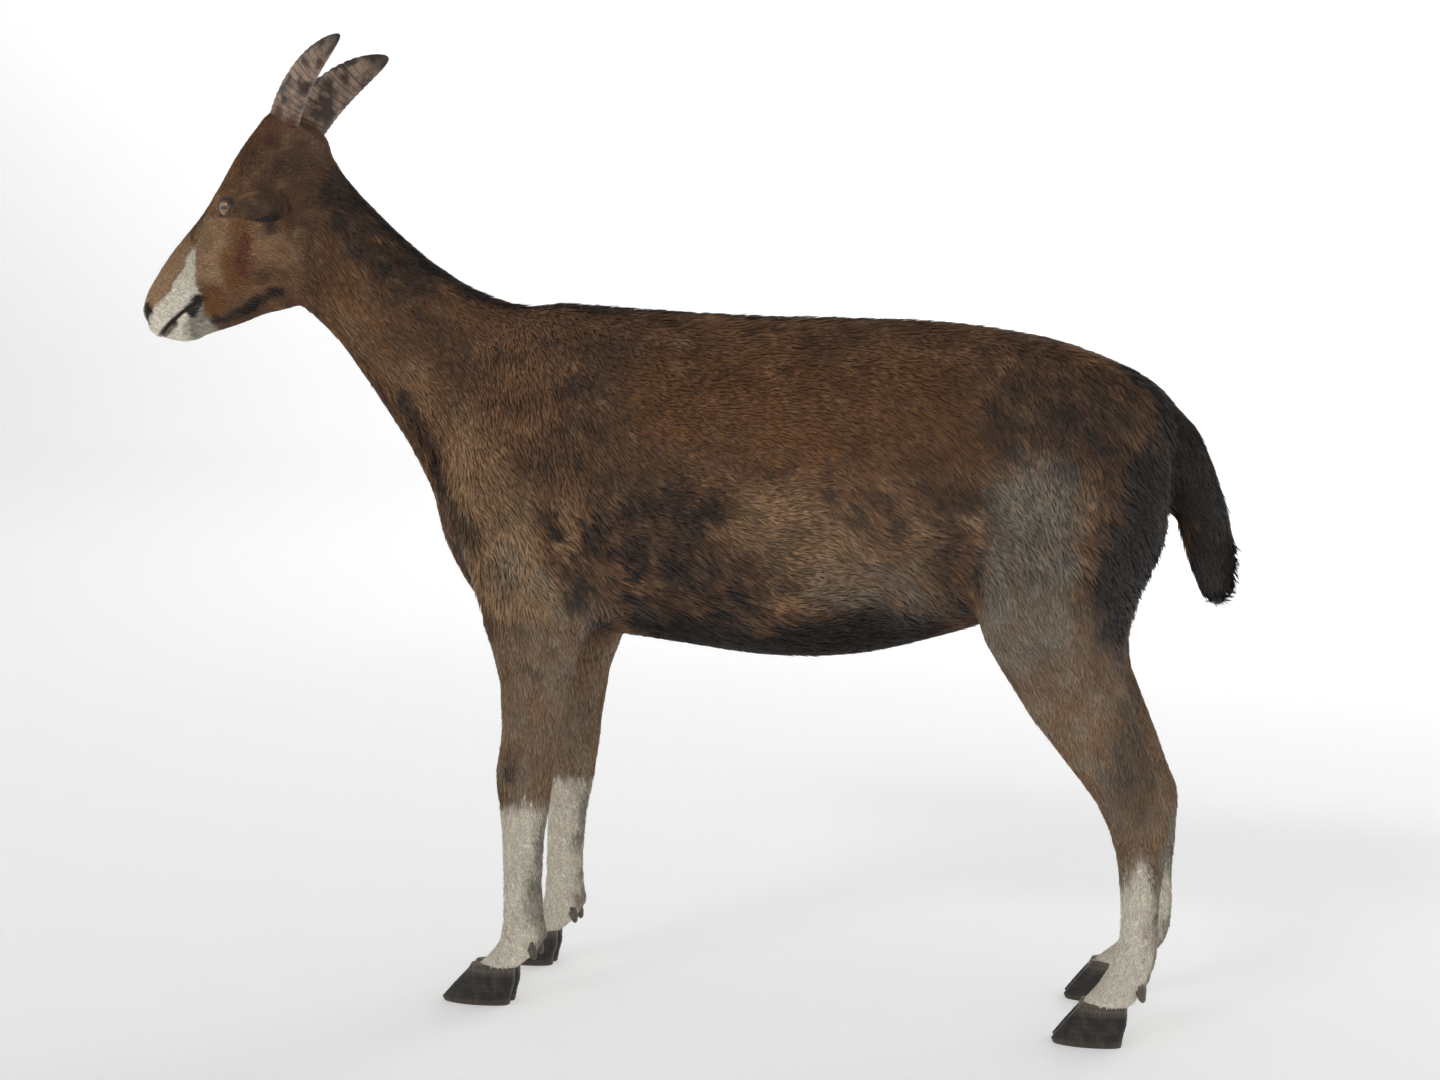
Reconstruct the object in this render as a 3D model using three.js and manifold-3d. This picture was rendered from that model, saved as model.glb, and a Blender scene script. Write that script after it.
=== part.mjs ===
// A standing goat at life size, in millimetres, with +Z up.
// The goat faces -Y and its left side is +X. Its outline reaches the tips of its short coat.
// Heights are above the floor, and the origin is moved to the middle of its footprint at the end.
import * as THREE from "three";
import { mergeVertices } from "three/addons/utils/BufferGeometryUtils.js";
import Module from "manifold-3d";

const wasm = await Module();
wasm.setup();

// ---- driving dimensions, mm ----
const GAP = 0.3;              // left between neighbouring parts
const FRONT_TRACK = 160;      // between the middles of the front feet
const HIND_TRACK = 160;       // between the middles of the hind feet
const EYE_RADIUS = 14;
const EYE_CENTRE = [42, -536, 846];
const HORN_LENGTH = 126;      // along its middle line
const HORN_DEPTH = 48;        // across its keel at the root
const HORN_WIDTH = 28;
const HORN_ROOT = [23, -485, 935];
const EAR_LENGTH = 112;
const EAR_WIDTH = 48;
const EAR_THICKNESS = 6;
const EAR_ROOT = [40, -474, 860];
const HOOF_HEIGHT = 37;       // coronet above the floor
const CLAW_WIDTH = 21;
const CLEFT = 3;              // between the two claws of a foot
const DEWCLAW_LENGTH = 17;
const DEWCLAW_RADIUS = 5;

// ---- colours of coat, horn, hoof and eye ----
const BROWN = 0x7a5f47;
const DARK_BROWN = 0x4a3626;
const HORN_TAN = 0x9a7c5c;
const HOOF_GREY = 0x4d453d;
const EYE_AMBER = 0xb5832f;
const COAT_ROUGHNESS = 0.9;
const HORN_ROUGHNESS = 0.6;
const EYE_ROUGHNESS = 0.1;

// ---- solids ----

// Turns a closed geometry, with its faces either way round, into a solid.
function solid(geometry) {
  const bare = new THREE.BufferGeometry();
  bare.setAttribute("position", geometry.getAttribute("position").clone());
  bare.setIndex(geometry.getIndex().clone());
  const merged = mergeVertices(bare, 1e-4);
  return new wasm.Manifold(new wasm.Mesh({
    numProp: 3,
    vertProperties: new Float32Array(merged.getAttribute("position").array),
    triVerts: outward(merged),
  }));
}

// The corners of the triangles, turned over together if the volume they enclose is negative.
function outward(geometry) {
  const position = geometry.getAttribute("position");
  const corners = Uint32Array.from(geometry.getIndex().array);
  const [a, b, c] = [new THREE.Vector3(), new THREE.Vector3(), new THREE.Vector3()];
  let volume = 0;
  for (let i = 0; i < corners.length; i += 3) {
    a.fromBufferAttribute(position, corners[i]);
    b.fromBufferAttribute(position, corners[i + 1]);
    c.fromBufferAttribute(position, corners[i + 2]);
    volume += a.dot(b.cross(c));
  }
  if (volume < 0) corners.reverse();
  return corners;
}

function geometryOf(body) {
  const mesh = body.getMesh();
  const geometry = new THREE.BufferGeometry();
  geometry.setAttribute("position", new THREE.BufferAttribute(mesh.vertProperties, 3));
  geometry.setIndex(new THREE.BufferAttribute(mesh.triVerts, 1));
  geometry.computeVertexNormals();
  return geometry;
}

const joined = (bodies) => bodies.reduce((whole, body) => whole.add(body));

// ---- lofts ----

// Skins a closed tube over rings of points, with a pole in the middle of each end.
function tube(rings) {
  const sides = rings[0].length;
  const points = [middle(rings[0]), ...rings.flat(), middle(rings.at(-1))];
  const last = points.length - 1;
  const index = [];
  const at = (ring, side) => 1 + ring * sides + (side % sides);
  for (let side = 0; side < sides; side++) {
    index.push(0, at(0, side), at(0, side + 1));
    for (let ring = 0; ring + 1 < rings.length; ring++) {
      index.push(at(ring, side), at(ring + 1, side), at(ring + 1, side + 1));
      index.push(at(ring, side), at(ring + 1, side + 1), at(ring, side + 1));
    }
    index.push(last, at(rings.length - 1, side + 1), at(rings.length - 1, side));
  }
  const geometry = new THREE.BufferGeometry().setFromPoints(points);
  geometry.setIndex(index);
  return geometry;
}

function middle(ring) {
  const sum = ring.reduce((total, point) => total.add(point), new THREE.Vector3());
  return sum.divideScalar(ring.length);
}

// A level ring of points.
function circle(centre, radius, sides) {
  const ring = [];
  for (let side = 0; side < sides; side++) {
    const angle = (2 * Math.PI * side) / sides;
    const arm = new THREE.Vector3(Math.sin(angle), Math.cos(angle), 0);
    ring.push(centre.clone().addScaledVector(arm, radius));
  }
  return ring;
}

// How round the sections are: 1 is elliptical, and less is squarer.
const BARREL_ROUND = 0.92;
const NECK_ROUND = 0.95;
const SKULL_ROUND = 0.86;
const LEG_ROUND = 0.92;
const BODY_SIDES = 20;        // faces round the trunk, neck and head
const LEG_SIDES = 14;
const TAIL_SIDES = 12;

const curve = (points) => new THREE.CatmullRomCurve3(points, false, "catmullrom", 0.5);

// A body drawn by stations. Each is [upper y, upper z, lower y, lower z, half width, widest, x]:
// two edge points seen from the side, half the width across them, how far down from the upper
// point it is widest (0 to 1), and how far its middle lies from the goat's middle plane.
function body(stations, sides, lengths, roundness = 1) {
  const upper = curve(stations.map(([y, z, , , , , x = 0]) => new THREE.Vector3(x, y, z)));
  const lower = curve(stations.map(([, , y, z, , , x = 0]) => new THREE.Vector3(x, y, z)));
  const girth = curve(stations.map(([, , , , half, widest]) => new THREE.Vector3(half, widest)));
  const rings = [];
  for (let i = 0; i <= lengths; i++) {
    const edges = [upper.getPoint(i / lengths), lower.getPoint(i / lengths)];
    const { x: half, y: widest } = girth.getPoint(i / lengths);
    rings.push(section(edges, half, widest, sides, roundness));
  }
  return solid(tube(rings));
}

function section([upper, lower], half, widest, sides, roundness) {
  const lean = Math.log(widest) / Math.log(0.5);
  const ring = [];
  for (let side = 0; side < sides; side++) {
    const angle = (2 * Math.PI * side) / sides;
    const down = ((1 - Math.cos(angle)) / 2) ** lean;
    const across = Math.sign(Math.sin(angle)) * Math.abs(Math.sin(angle)) ** roundness;
    ring.push(upper.clone().lerp(lower, down).setX(upper.x + half * across));
  }
  return ring;
}

// ---- trunk, neck, head and tail ----

function trunk() {
  return body([
    [-318, 572, -312, 502, 14, 0.50],   // breast
    [-300, 652, -290, 459, 58, 0.50],
    [-262, 713, -256, 409, 84, 0.52],   // point of the shoulder
    [-200, 741, -196, 392, 97, 0.55],   // withers to brisket
    [-110, 736, -110, 386, 112, 0.56],
    [-22, 729, -22, 375, 127, 0.57],
    [65, 724, 65, 366, 135, 0.58],      // deepest of the barrel
    [150, 722, 150, 370, 133, 0.58],
    [222, 718, 222, 387, 118, 0.55],    // loin to flank
    [283, 709, 276, 403, 100, 0.48],    // hips
    [344, 696, 335, 429, 92, 0.42],
    [406, 675, 392, 459, 82, 0.40],     // rump
    [445, 654, 430, 487, 66, 0.42],
    [470, 627, 458, 511, 40, 0.45],
    [476, 597, 468, 548, 12, 0.50],
  ], BODY_SIDES, 22, BARREL_ROUND);
}

function neck() {
  return body([
    [-462, 915, -504, 767, 30, 0.5],
    [-441, 909, -477, 741, 41, 0.5],    // behind the jaw
    [-422, 880, -454, 723, 45, 0.5],
    [-388, 845, -427, 699, 47, 0.5],
    [-336, 798, -382, 639, 51, 0.52],
    [-267, 755, -337, 574, 62, 0.55],
    [-200, 737, -299, 502, 76, 0.58],   // sinks into the shoulders
    [-150, 725, -255, 457, 60, 0.58],
  ], BODY_SIDES, 12, NECK_ROUND);
}

function head() {
  const skull = body([
    [-444, 915, -462, 769, 30, 0.50],
    [-453, 933, -474, 745, 42, 0.45],   // nape to the angle of the jaw
    [-480, 949, -492, 737, 45, 0.42],
    [-503, 949, -512, 734, 47, 0.40],   // between the horns
    [-526, 926, -530, 729, 50, 0.38],
    [-545, 897, -546, 723, 50, 0.38],   // forehead
    [-570, 864, -562, 718, 43, 0.42],
    [-597, 836, -580, 713, 34, 0.48],   // end of the cheek
    [-623, 811, -598, 708, 28, 0.52],
    [-643, 787, -616, 704, 26, 0.54],
    [-658, 764, -634, 704, 26, 0.52],   // nostrils and lips
    [-663, 745, -650, 709, 21, 0.50],
    [-663, 734, -658, 718, 9, 0.50],
  ], BODY_SIDES, 19, SKULL_ROUND);
  return joined([skull, orbit(1), orbit(-1)]);
}

// The ridge of bone that stands out round an eye.
const ORBIT_SIZE = [9, 26, 21];    // half axes, mm
const ORBIT_RISE = 3;              // its middle above the eye's

function orbit(side) {
  const [x, y, z] = EYE_CENTRE;
  const ridge = new THREE.SphereGeometry(1, 12, 6).rotateZ(Math.PI / 2).scale(...ORBIT_SIZE);
  return solid(ridge.translate(side * x, y, z + ORBIT_RISE));
}

function tail() {
  return body([
    [440, 647, 440, 587, 26, 0.5],
    [476, 625, 462, 587, 25, 0.5],      // root
    [496, 595, 462, 563, 24, 0.5],
    [513, 553, 464, 533, 23, 0.5],
    [525, 509, 471, 501, 22, 0.5],
    [529, 474, 485, 467, 20, 0.5],
    [525, 445, 493, 443, 14, 0.5],
    [512, 432, 503, 433, 5, 0.5],
  ], TAIL_SIDES, 11);
}

// ---- legs ----

// A leg's stations give its front edge and then its back edge, for the left leg.
const FRONT_LEG = [
  [-222, 699, -150, 699, 12, 0.5, 44],
  [-256, 637, -118, 637, 30, 0.5, 58],  // shoulder blade
  [-276, 552, -100, 542, 38, 0.5, 66],
  [-262, 477, -88, 462, 40, 0.5, 72],   // point of the shoulder to the elbow
  [-246, 427, -90, 422, 37, 0.5, 77],
  [-230, 386, -125, 386, 31, 0.5, 79],
  [-218, 344, -144, 344, 26, 0.5, 80],
  [-216, 291, -154, 291, 22, 0.5, 80],
  [-221, 247, -160, 247, 23, 0.5, 80],  // knee
  [-220, 219, -163, 219, 22, 0.5, 80],
  [-217, 180, -170, 180, 17, 0.5, 80],
  [-216, 127, -173, 127, 15, 0.5, 80],  // cannon
  [-216, 89, -171, 93, 17, 0.5, 80],
  [-219, 67, -167, 75, 20, 0.5, 80],    // fetlock
  [-234, 50, -179, 55, 20, 0.5, 80],
  [-250, HOOF_HEIGHT, -200, HOOF_HEIGHT, 22, 0.5, 80],
];
const HIND_LEG = [
  [300, 679, 380, 679, 12, 0.5, 44],
  [270, 633, 436, 639, 34, 0.5, 50],    // hip to the pin bone
  [258, 562, 468, 571, 48, 0.5, 54],
  [257, 487, 463, 495, 52, 0.5, 62],    // thigh
  [268, 437, 437, 441, 48, 0.5, 70],
  [284, 402, 424, 397, 41, 0.5, 76],    // stifle
  [303, 372, 424, 363, 36, 0.5, 78],
  [329, 327, 435, 329, 30, 0.5, 79],
  [363, 284, 449, 289, 25, 0.5, 80],
  [395, 244, 463, 244, 22, 0.5, 80],
  [409, 217, 469, 213, 22, 0.5, 80],    // hock
  [418, 187, 466, 181, 19, 0.5, 80],
  [422, 147, 461, 147, 16, 0.5, 80],    // cannon
  [422, 109, 460, 109, 16, 0.5, 80],
  [416, 85, 458, 85, 18, 0.5, 80],
  [406, 65, 453, 67, 21, 0.5, 80],      // fetlock
  [393, 50, 445, 51, 20, 0.5, 80],
  [380, HOOF_HEIGHT, 433, HOOF_HEIGHT, 22, 0.5, 80],
];

// A claw's toe and heel at the floor, from the middle of the coronet.
const FRONT_CLAW = { toe: -56, heel: 18 };
const HIND_CLAW = { toe: -49, heel: 19 };

// Each right leg stands a little out of step with the left one: knee or hock, cannon and foot
// are moved along the body by these lengths.
const front = { stations: FRONT_LEG, claw: FRONT_CLAW, track: FRONT_TRACK };
const hind = { stations: HIND_LEG, claw: HIND_CLAW, track: HIND_TRACK };
const LEGS = [
  { name: "front_left", side: 1, moved: { knee: 0, cannon: 0, foot: 0 }, ...front },
  { name: "front_right", side: -1, moved: { knee: 0, cannon: -6, foot: -5 }, ...front },
  { name: "hind_left", side: 1, moved: { knee: 0, cannon: 0, foot: 0 }, ...hind },
  { name: "hind_right", side: -1, moved: { knee: 6, cannon: 12, foot: 2 }, ...hind },
];
const MOVED_HEIGHTS = { still: 380, knee: 230, cannon: 100, fetlock: 65 };

// How far along the body a leg is moved at a height.
function stride({ moved }, height) {
  const { still, knee, cannon, fetlock } = MOVED_HEIGHTS;
  const { mapLinear } = THREE.MathUtils;
  if (height > still) return 0;
  if (height > knee) return mapLinear(height, still, knee, 0, moved.knee);
  if (height > cannon) return mapLinear(height, knee, cannon, moved.knee, moved.cannon);
  if (height > fetlock) return moved.cannon;
  return mapLinear(Math.max(height, HOOF_HEIGHT), fetlock, HOOF_HEIGHT, moved.cannon, moved.foot);
}

function legFlesh(leg) {
  const spread = leg.track / 2 - leg.stations.at(-1)[6];
  const placed = leg.stations.map(([frontY, frontZ, backY, backZ, half, widest, x]) => [
    frontY + stride(leg, frontZ), frontZ, backY + stride(leg, backZ), backZ,
    half, widest, leg.side * (x + spread),
  ]);
  return body(placed, LEG_SIDES, placed.length - 1, LEG_ROUND);
}

// ---- hooves ----

// A claw is a wedge: at each level, its share of the way from the floor to the coronet,
// how much of the toe's reach is left, and how wide it is.
const CLAW_LEVELS = [
  { up: 0, reach: 0.96, wide: 0.94 },
  { up: 0.14, reach: 1.0, wide: 1.0 },
  { up: 0.55, reach: 0.76, wide: 0.98 },
  { up: 1, reach: 0.48, wide: 0.92 },
];
const CLAW_SIDES = 12;
const CORONET_HEEL = 24;      // heel at the coronet, from the coronet's middle
const CLAW_INNER = 0.35;      // share of a claw's width on the inner side of its middle line
const TOE_NARROWING = 0.35;   // how much narrower the outer side is at the toe
const OUTER_WALL = 0.7;       // powers that shape the walls: 1 is round, and less is flatter
const INNER_WALL = 0.3;

function claw(leg, outer) {
  const [frontY, , backY] = leg.stations.at(-1);
  const coronet = (frontY + backY) / 2 + leg.moved.foot;
  const rings = CLAW_LEVELS.map(({ up, reach, wide }) => {
    const toe = coronet + leg.claw.toe * reach;
    const heel = coronet + THREE.MathUtils.lerp(leg.claw.heel, CORONET_HEEL, up);
    return clawRing(leg, outer, toe, heel, (HOOF_HEIGHT - GAP) * up, CLAW_WIDTH * wide);
  });
  return solid(tube(rings));
}

// A ring with a straight inner wall, a curved outer one, a narrow toe and a round heel.
function clawRing(leg, outer, toe, heel, height, width) {
  const ring = [];
  for (let side = 0; side < CLAW_SIDES; side++) {
    const angle = (2 * Math.PI * side) / CLAW_SIDES;
    const forward = Math.cos(angle);
    const sideways = Math.sin(angle);
    const narrow = 1 - TOE_NARROWING * Math.max(0, forward) ** 2;
    const wall = sideways > 0
      ? (1 - CLAW_INNER) * narrow * sideways ** OUTER_WALL
      : -CLAW_INNER * (-sideways) ** INNER_WALL;
    const x = leg.side * leg.track / 2 + outer * (CLEFT / 2 + width * (CLAW_INNER + wall));
    ring.push(new THREE.Vector3(x, (toe + heel) / 2 - forward * (heel - toe) / 2, height));
  }
  return ring;
}

// A small cone behind the fetlock, pointing down and back.
const DEWCLAW_SPREAD = 11;    // from the middle of the leg
const DEWCLAW_RISE = 12;      // its root above the fetlock's lower station
const DEWCLAW_LEAN = 6;       // how far its tip lies behind its root
const DEWCLAW_SUNK = 4;       // how deep its middle line lies in the fetlock
const DEWCLAW_TAPER = [0.8, 1, 0.5];
const DEWCLAW_SIDES = 7;

function dewclaw(leg, outer, grown = 0) {
  const [, , backY, backZ] = leg.stations.at(-2);
  const x = leg.side * leg.track / 2 + outer * DEWCLAW_SPREAD;
  const y = backY + stride(leg, backZ) - DEWCLAW_SUNK;
  const rings = DEWCLAW_TAPER.map((share, i) => {
    const along = i / (DEWCLAW_TAPER.length - 1);
    const centre = new THREE.Vector3(x, y + DEWCLAW_LEAN * along,
      backZ + DEWCLAW_RISE - DEWCLAW_LENGTH * along);
    const radius = DEWCLAW_RADIUS * share + grown;
    return circle(centre, radius, DEWCLAW_SIDES);
  });
  return solid(tube(rings));
}

// ---- horns, ears and eyes ----

// A horn sweeps back along an arc and spreads outwards, with low rings across it. Its keel is
// turned out from the goat's middle plane.
const HORN_RINGS = 14;
const HORN_SLOPE = 1.15;      // its first slope above level, radians
const HORN_SWEEP = 0.75;      // how much it turns back over its length, radians
const HORN_SPREAD = 42;       // its tip lies this much further out than its root, mm
const KEEL_TURN = 0.6;        // radians
const HORN_RIDGE = 0.04;      // height of a ring, as a share of the horn's size there
const HORN_FULL = 1.7;        // powers of its taper: the first keeps the root thick,
const HORN_POINT = 0.72;      // and the second sets how suddenly it comes to a point
const HORN_TIP = 0.03;        // left at the tip, as a share of the root
const HORN_SIDES = 10;

function horn(side, grown = 0) {
  const rings = [];
  const centre = new THREE.Vector3(side * HORN_ROOT[0], HORN_ROOT[1], HORN_ROOT[2]);
  const step = HORN_LENGTH / HORN_RINGS;
  for (let i = 0; i <= HORN_RINGS; i++) {
    const along = i / HORN_RINGS;
    const slope = HORN_SLOPE - HORN_SWEEP * along;
    const taper = (1 - along ** HORN_FULL) ** HORN_POINT;
    const size = taper * (1 + HORN_RIDGE * (i % 2)) + HORN_TIP;
    rings.push(hornRing(side, centre, slope, size, grown));
    centre.x += side * HORN_SPREAD / HORN_RINGS;
    centre.y += Math.cos(slope) * step;
    centre.z += Math.sin(slope) * step;
  }
  return solid(tube(rings));
}

function hornRing(side, centre, slope, size, grown) {
  const back = new THREE.Vector3(0, -Math.sin(slope), Math.cos(slope));
  const out = new THREE.Vector3(side, 0, 0);
  const keel = back.clone().multiplyScalar(Math.cos(KEEL_TURN)).addScaledVector(out, -Math.sin(KEEL_TURN));
  const flat = back.clone().multiplyScalar(Math.sin(KEEL_TURN)).addScaledVector(out, Math.cos(KEEL_TURN));
  const ring = [];
  for (let k = 0; k < HORN_SIDES; k++) {
    const angle = (2 * Math.PI * k) / HORN_SIDES;
    ring.push(centre.clone()
      .addScaledVector(keel, (HORN_DEPTH / 2 * size + grown) * Math.cos(angle))
      .addScaledVector(flat, (HORN_WIDTH / 2 * size + grown) * Math.sin(angle)));
  }
  return ring;
}

// An ear is a leaf that stands out sideways, droops a little and is cupped forwards.
const EAR_RINGS = 10;
const EAR_DROOP = 0.3;        // radians below level
const EAR_FORWARD = 0.06;     // radians towards the nose
const EAR_HOLLOW = new THREE.Vector3(0, -0.72, -0.69);  // the way its hollow faces
const ROOT_ROLL = 2.6;        // how far the leaf is rolled up at its root, radians
const TIP_ROLL = 1.0;
const ROLL_OPENING = 0.6;     // power by which the roll opens out, quicker near the root
const LEAF_START = 0.16;      // the part of a half sine wave that gives the leaf its outline
const LEAF_RUN = 0.82;
const LEAF_LEAN = 0.8;        // moves its widest place towards the root
const LEAF_FULL = 0.7;        // makes its ends blunter

function ear(side, grown = 0) {
  const out = new THREE.Vector3(Math.cos(EAR_DROOP), -Math.sin(EAR_FORWARD), -Math.sin(EAR_DROOP));
  out.normalize();
  const hollow = EAR_HOLLOW.clone().addScaledVector(out, -EAR_HOLLOW.dot(out)).normalize();
  const wide = out.clone().cross(hollow);
  const rings = [];
  for (let i = 0; i <= EAR_RINGS; i++) {
    const along = i / EAR_RINGS;
    const phase = (LEAF_START + LEAF_RUN * along) ** LEAF_LEAN;
    const leaf = Math.sin(Math.PI * phase) ** LEAF_FULL;
    const centre = new THREE.Vector3(...EAR_ROOT).addScaledVector(out, EAR_LENGTH * along);
    const strip = {
      half: EAR_WIDTH / 2 * leaf + grown,
      roll: THREE.MathUtils.lerp(ROOT_ROLL, TIP_ROLL, along ** ROLL_OPENING),
      thick: EAR_THICKNESS + 2 * grown,
    };
    rings.push(crescent(centre, wide, hollow, strip).map((point) => point.setX(side * point.x)));
  }
  return solid(tube(rings));
}

// A rolled strip: out along its back and home along its hollow side, with thinner edges.
const CRESCENT_POINTS = 6;
const EDGE_THICKNESS = 0.3;   // of its thickness in the middle

function crescent(centre, wide, hollow, { half, roll, thick }) {
  const radius = 2 * half / roll;
  const ring = [];
  for (let k = 0; k < 2 * CRESCENT_POINTS; k++) {
    const back = k < CRESCENT_POINTS;
    const share = (back ? k : 2 * CRESCENT_POINTS - 1 - k) / (CRESCENT_POINTS - 1) - 0.5;
    const turn = roll * share;
    const edge = Math.max(EDGE_THICKNESS, 1 - (2 * Math.abs(share)) ** 4);
    const reach = radius + (back ? 0.5 : -0.5) * thick * edge;
    ring.push(centre.clone().addScaledVector(wide, reach * Math.sin(turn))
      .addScaledVector(hollow, radius - reach * Math.cos(turn)));
  }
  return ring;
}

function eye(side, grown = 0) {
  const ball = new THREE.SphereGeometry(EYE_RADIUS + grown, 14, 8);
  return solid(ball.translate(side * EYE_CENTRE[0], EYE_CENTRE[1], EYE_CENTRE[2]));
}

// ---- parting the flesh ----

const REACH = 900;            // longer than any part of the goat
// The head lies before a plane from the angle of the jaw to the nape, and the neck before one
// from the foot of the throat to the withers. pitch is how far each leans back, in radians.
const NAPE_PLANE = { y: -450, z: 828, pitch: -0.19 };
const WITHERS_PLANE = { y: -280, z: 653, pitch: -0.54 };
// The legs lie below planes that rise outwards from the armpit and the groin.
const ARMPIT = { y: -187, z: 355, tilt: 0.55, length: 214 };
const GROIN = { y: 376, z: 353, tilt: 0.75, length: 232 };
const TAIL_BOX = { y: 525, z: 533, size: [80, 94, 230] };
const MIDDLE_STRIP = 4;       // kept clear between the left and the right legs

function box(size, centre, grown, pitch = 0, tilt = 0) {
  const [x, y, z] = size.map((side) => side + 2 * grown);
  const geometry = new THREE.BoxGeometry(x, y, z);
  return solid(geometry.rotateX(pitch).rotateY(tilt).translate(...centre));
}

function before({ y, z, pitch }, grown = 0) {
  const centre = [0, y - REACH / 2 * Math.cos(pitch), z - REACH / 2 * Math.sin(pitch)];
  return box([REACH, REACH, REACH], centre, grown, pitch);
}

function legSpace(leg, grown = 0) {
  const { y, z, tilt, length } = leg.stations === FRONT_LEG ? ARMPIT : GROIN;
  const size = [REACH, length, REACH];
  const sunk = [leg.side * REACH / 2 * Math.sin(tilt), y, z - REACH / 2 * Math.cos(tilt)];
  const beside = [leg.side * (REACH + MIDDLE_STRIP) / 2, y, z];
  return box(size, sunk, grown, 0, -leg.side * tilt).intersect(box(size, beside, grown));
}

const tailSpace = (grown = 0) => box(TAIL_BOX.size, [0, TAIL_BOX.y, TAIL_BOX.z], grown);

// ---- assembly ----

const group = new THREE.Group();

function place(name, part, color, roughness) {
  const material = new THREE.MeshStandardMaterial({ color, roughness, metalness: 0 });
  const mesh = new THREE.Mesh(geometryOf(part), material);
  mesh.name = name;
  group.add(mesh);
}

const SIDES = [{ name: "left", side: 1 }, { name: "right", side: -1 }];
const CLAWS = [{ name: "outer", out: 1 }, { name: "inner", out: -1 }];

// The flesh in one piece, with sockets for all that is set into it.
const sockets = joined([
  ...SIDES.flatMap(({ side }) => [eye(side, GAP), horn(side, GAP), ear(side, GAP)]),
  ...LEGS.flatMap((leg) => CLAWS.map(({ out }) => dewclaw(leg, leg.side * out, GAP))),
]);
const whole = joined([trunk(), neck(), head(), tail(), ...LEGS.map(legFlesh)]).subtract(sockets);
const limbs = joined([...LEGS.map((leg) => legSpace(leg, GAP)), tailSpace(GAP)]);

place("head", whole.intersect(before(NAPE_PLANE)), BROWN, COAT_ROUGHNESS);
place("neck", whole.subtract(before(NAPE_PLANE, GAP)).intersect(before(WITHERS_PLANE)),
  BROWN, COAT_ROUGHNESS);
place("trunk", whole.subtract(before(WITHERS_PLANE, GAP)).subtract(limbs), BROWN, COAT_ROUGHNESS);
place("tail", whole.intersect(tailSpace()), DARK_BROWN, COAT_ROUGHNESS);
for (const leg of LEGS) {
  place(`leg_${leg.name}`, whole.intersect(legSpace(leg)), BROWN, COAT_ROUGHNESS);
  for (const { name, out } of CLAWS) {
    place(`claw_${leg.name}_${name}`, claw(leg, leg.side * out), HOOF_GREY, HORN_ROUGHNESS);
    place(`dewclaw_${leg.name}_${name}`, dewclaw(leg, leg.side * out), HOOF_GREY, HORN_ROUGHNESS);
  }
}
for (const { name, side } of SIDES) {
  place(`ear_${name}`, ear(side), BROWN, COAT_ROUGHNESS);
  place(`eye_${name}`, eye(side), EYE_AMBER, EYE_ROUGHNESS);
  place(`horn_${name}`, horn(side), HORN_TAN, HORN_ROUGHNESS);
}

// The origin goes to the middle of the footprint, on the floor.
const bounds = new THREE.Box3().setFromObject(group);
const centre = bounds.getCenter(new THREE.Vector3());
group.position.set(-centre.x, -centre.y, -bounds.min.z);

export default group;
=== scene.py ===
import math

import bmesh
import bpy
import numpy as np
from bpy.props import FloatProperty, FloatVectorProperty, IntProperty, PointerProperty
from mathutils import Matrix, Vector
from mathutils.bvhtree import BVHTree


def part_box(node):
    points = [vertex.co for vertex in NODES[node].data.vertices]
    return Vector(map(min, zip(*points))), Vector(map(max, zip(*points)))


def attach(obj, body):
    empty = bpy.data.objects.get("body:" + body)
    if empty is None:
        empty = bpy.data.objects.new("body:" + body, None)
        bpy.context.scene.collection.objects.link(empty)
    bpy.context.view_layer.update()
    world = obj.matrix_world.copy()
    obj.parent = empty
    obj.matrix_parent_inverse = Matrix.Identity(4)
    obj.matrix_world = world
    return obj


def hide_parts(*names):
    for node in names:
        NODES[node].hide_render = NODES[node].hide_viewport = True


bl_info = {
    "name": "Standing goat",
    "version": (1, 0, 0),
    "blender": (4, 5, 0),
    "location": "View3D > Sidebar > Goat",
    "description": "Skin, coat, eyes, horns and hooves of a standing goat, built round its frame",
    "category": "Object",
}

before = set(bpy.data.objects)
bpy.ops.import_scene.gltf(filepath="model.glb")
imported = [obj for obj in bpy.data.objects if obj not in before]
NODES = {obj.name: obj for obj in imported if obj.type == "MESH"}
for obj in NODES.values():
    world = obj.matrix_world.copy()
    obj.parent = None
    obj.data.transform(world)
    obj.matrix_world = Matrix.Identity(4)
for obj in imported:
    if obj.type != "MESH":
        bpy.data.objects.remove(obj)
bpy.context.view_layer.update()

# The goat faces -Y, its left side is +X, and the floor is at height 0. All lengths are in metres.
MM = 0.001
LEGS = ("front_left", "front_right", "hind_left", "hind_right")
SIDES = {"left": 1, "right": -1}
REGIONS = ("head", "neck", "trunk", "tail", "leg", "ear")
FLESH = ("trunk", "neck", "head", "tail", *(f"leg_{leg}" for leg in LEGS), *(f"ear_{s}" for s in SIDES))


def middle_of(node):
    low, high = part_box(node)
    return np.array((low + high) / 2)


EYE = middle_of("eye_left")
EYE_RADIUS = (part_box("eye_left")[1].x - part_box("eye_left")[0].x) / 2
HOOF_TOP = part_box("claw_front_left_outer")[1].z
HEAD_ORIGIN = np.array([0, -475.8, 844]) * MM
HORN_ROOT = np.array([23, -417.8, 935]) * MM
EAR_ROOT = np.array([40, -406.8, 860]) * MM


def unit(vector):
    vector = np.asarray(vector, float)
    return vector / np.linalg.norm(vector, axis=-1, keepdims=True)


# The head's own axes: along the muzzle towards the nose, and up out of the forehead.
NOSEWARDS = unit([0, -0.72, -0.69])
BROWWARDS = unit([0, -0.69, 0.72])
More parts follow.
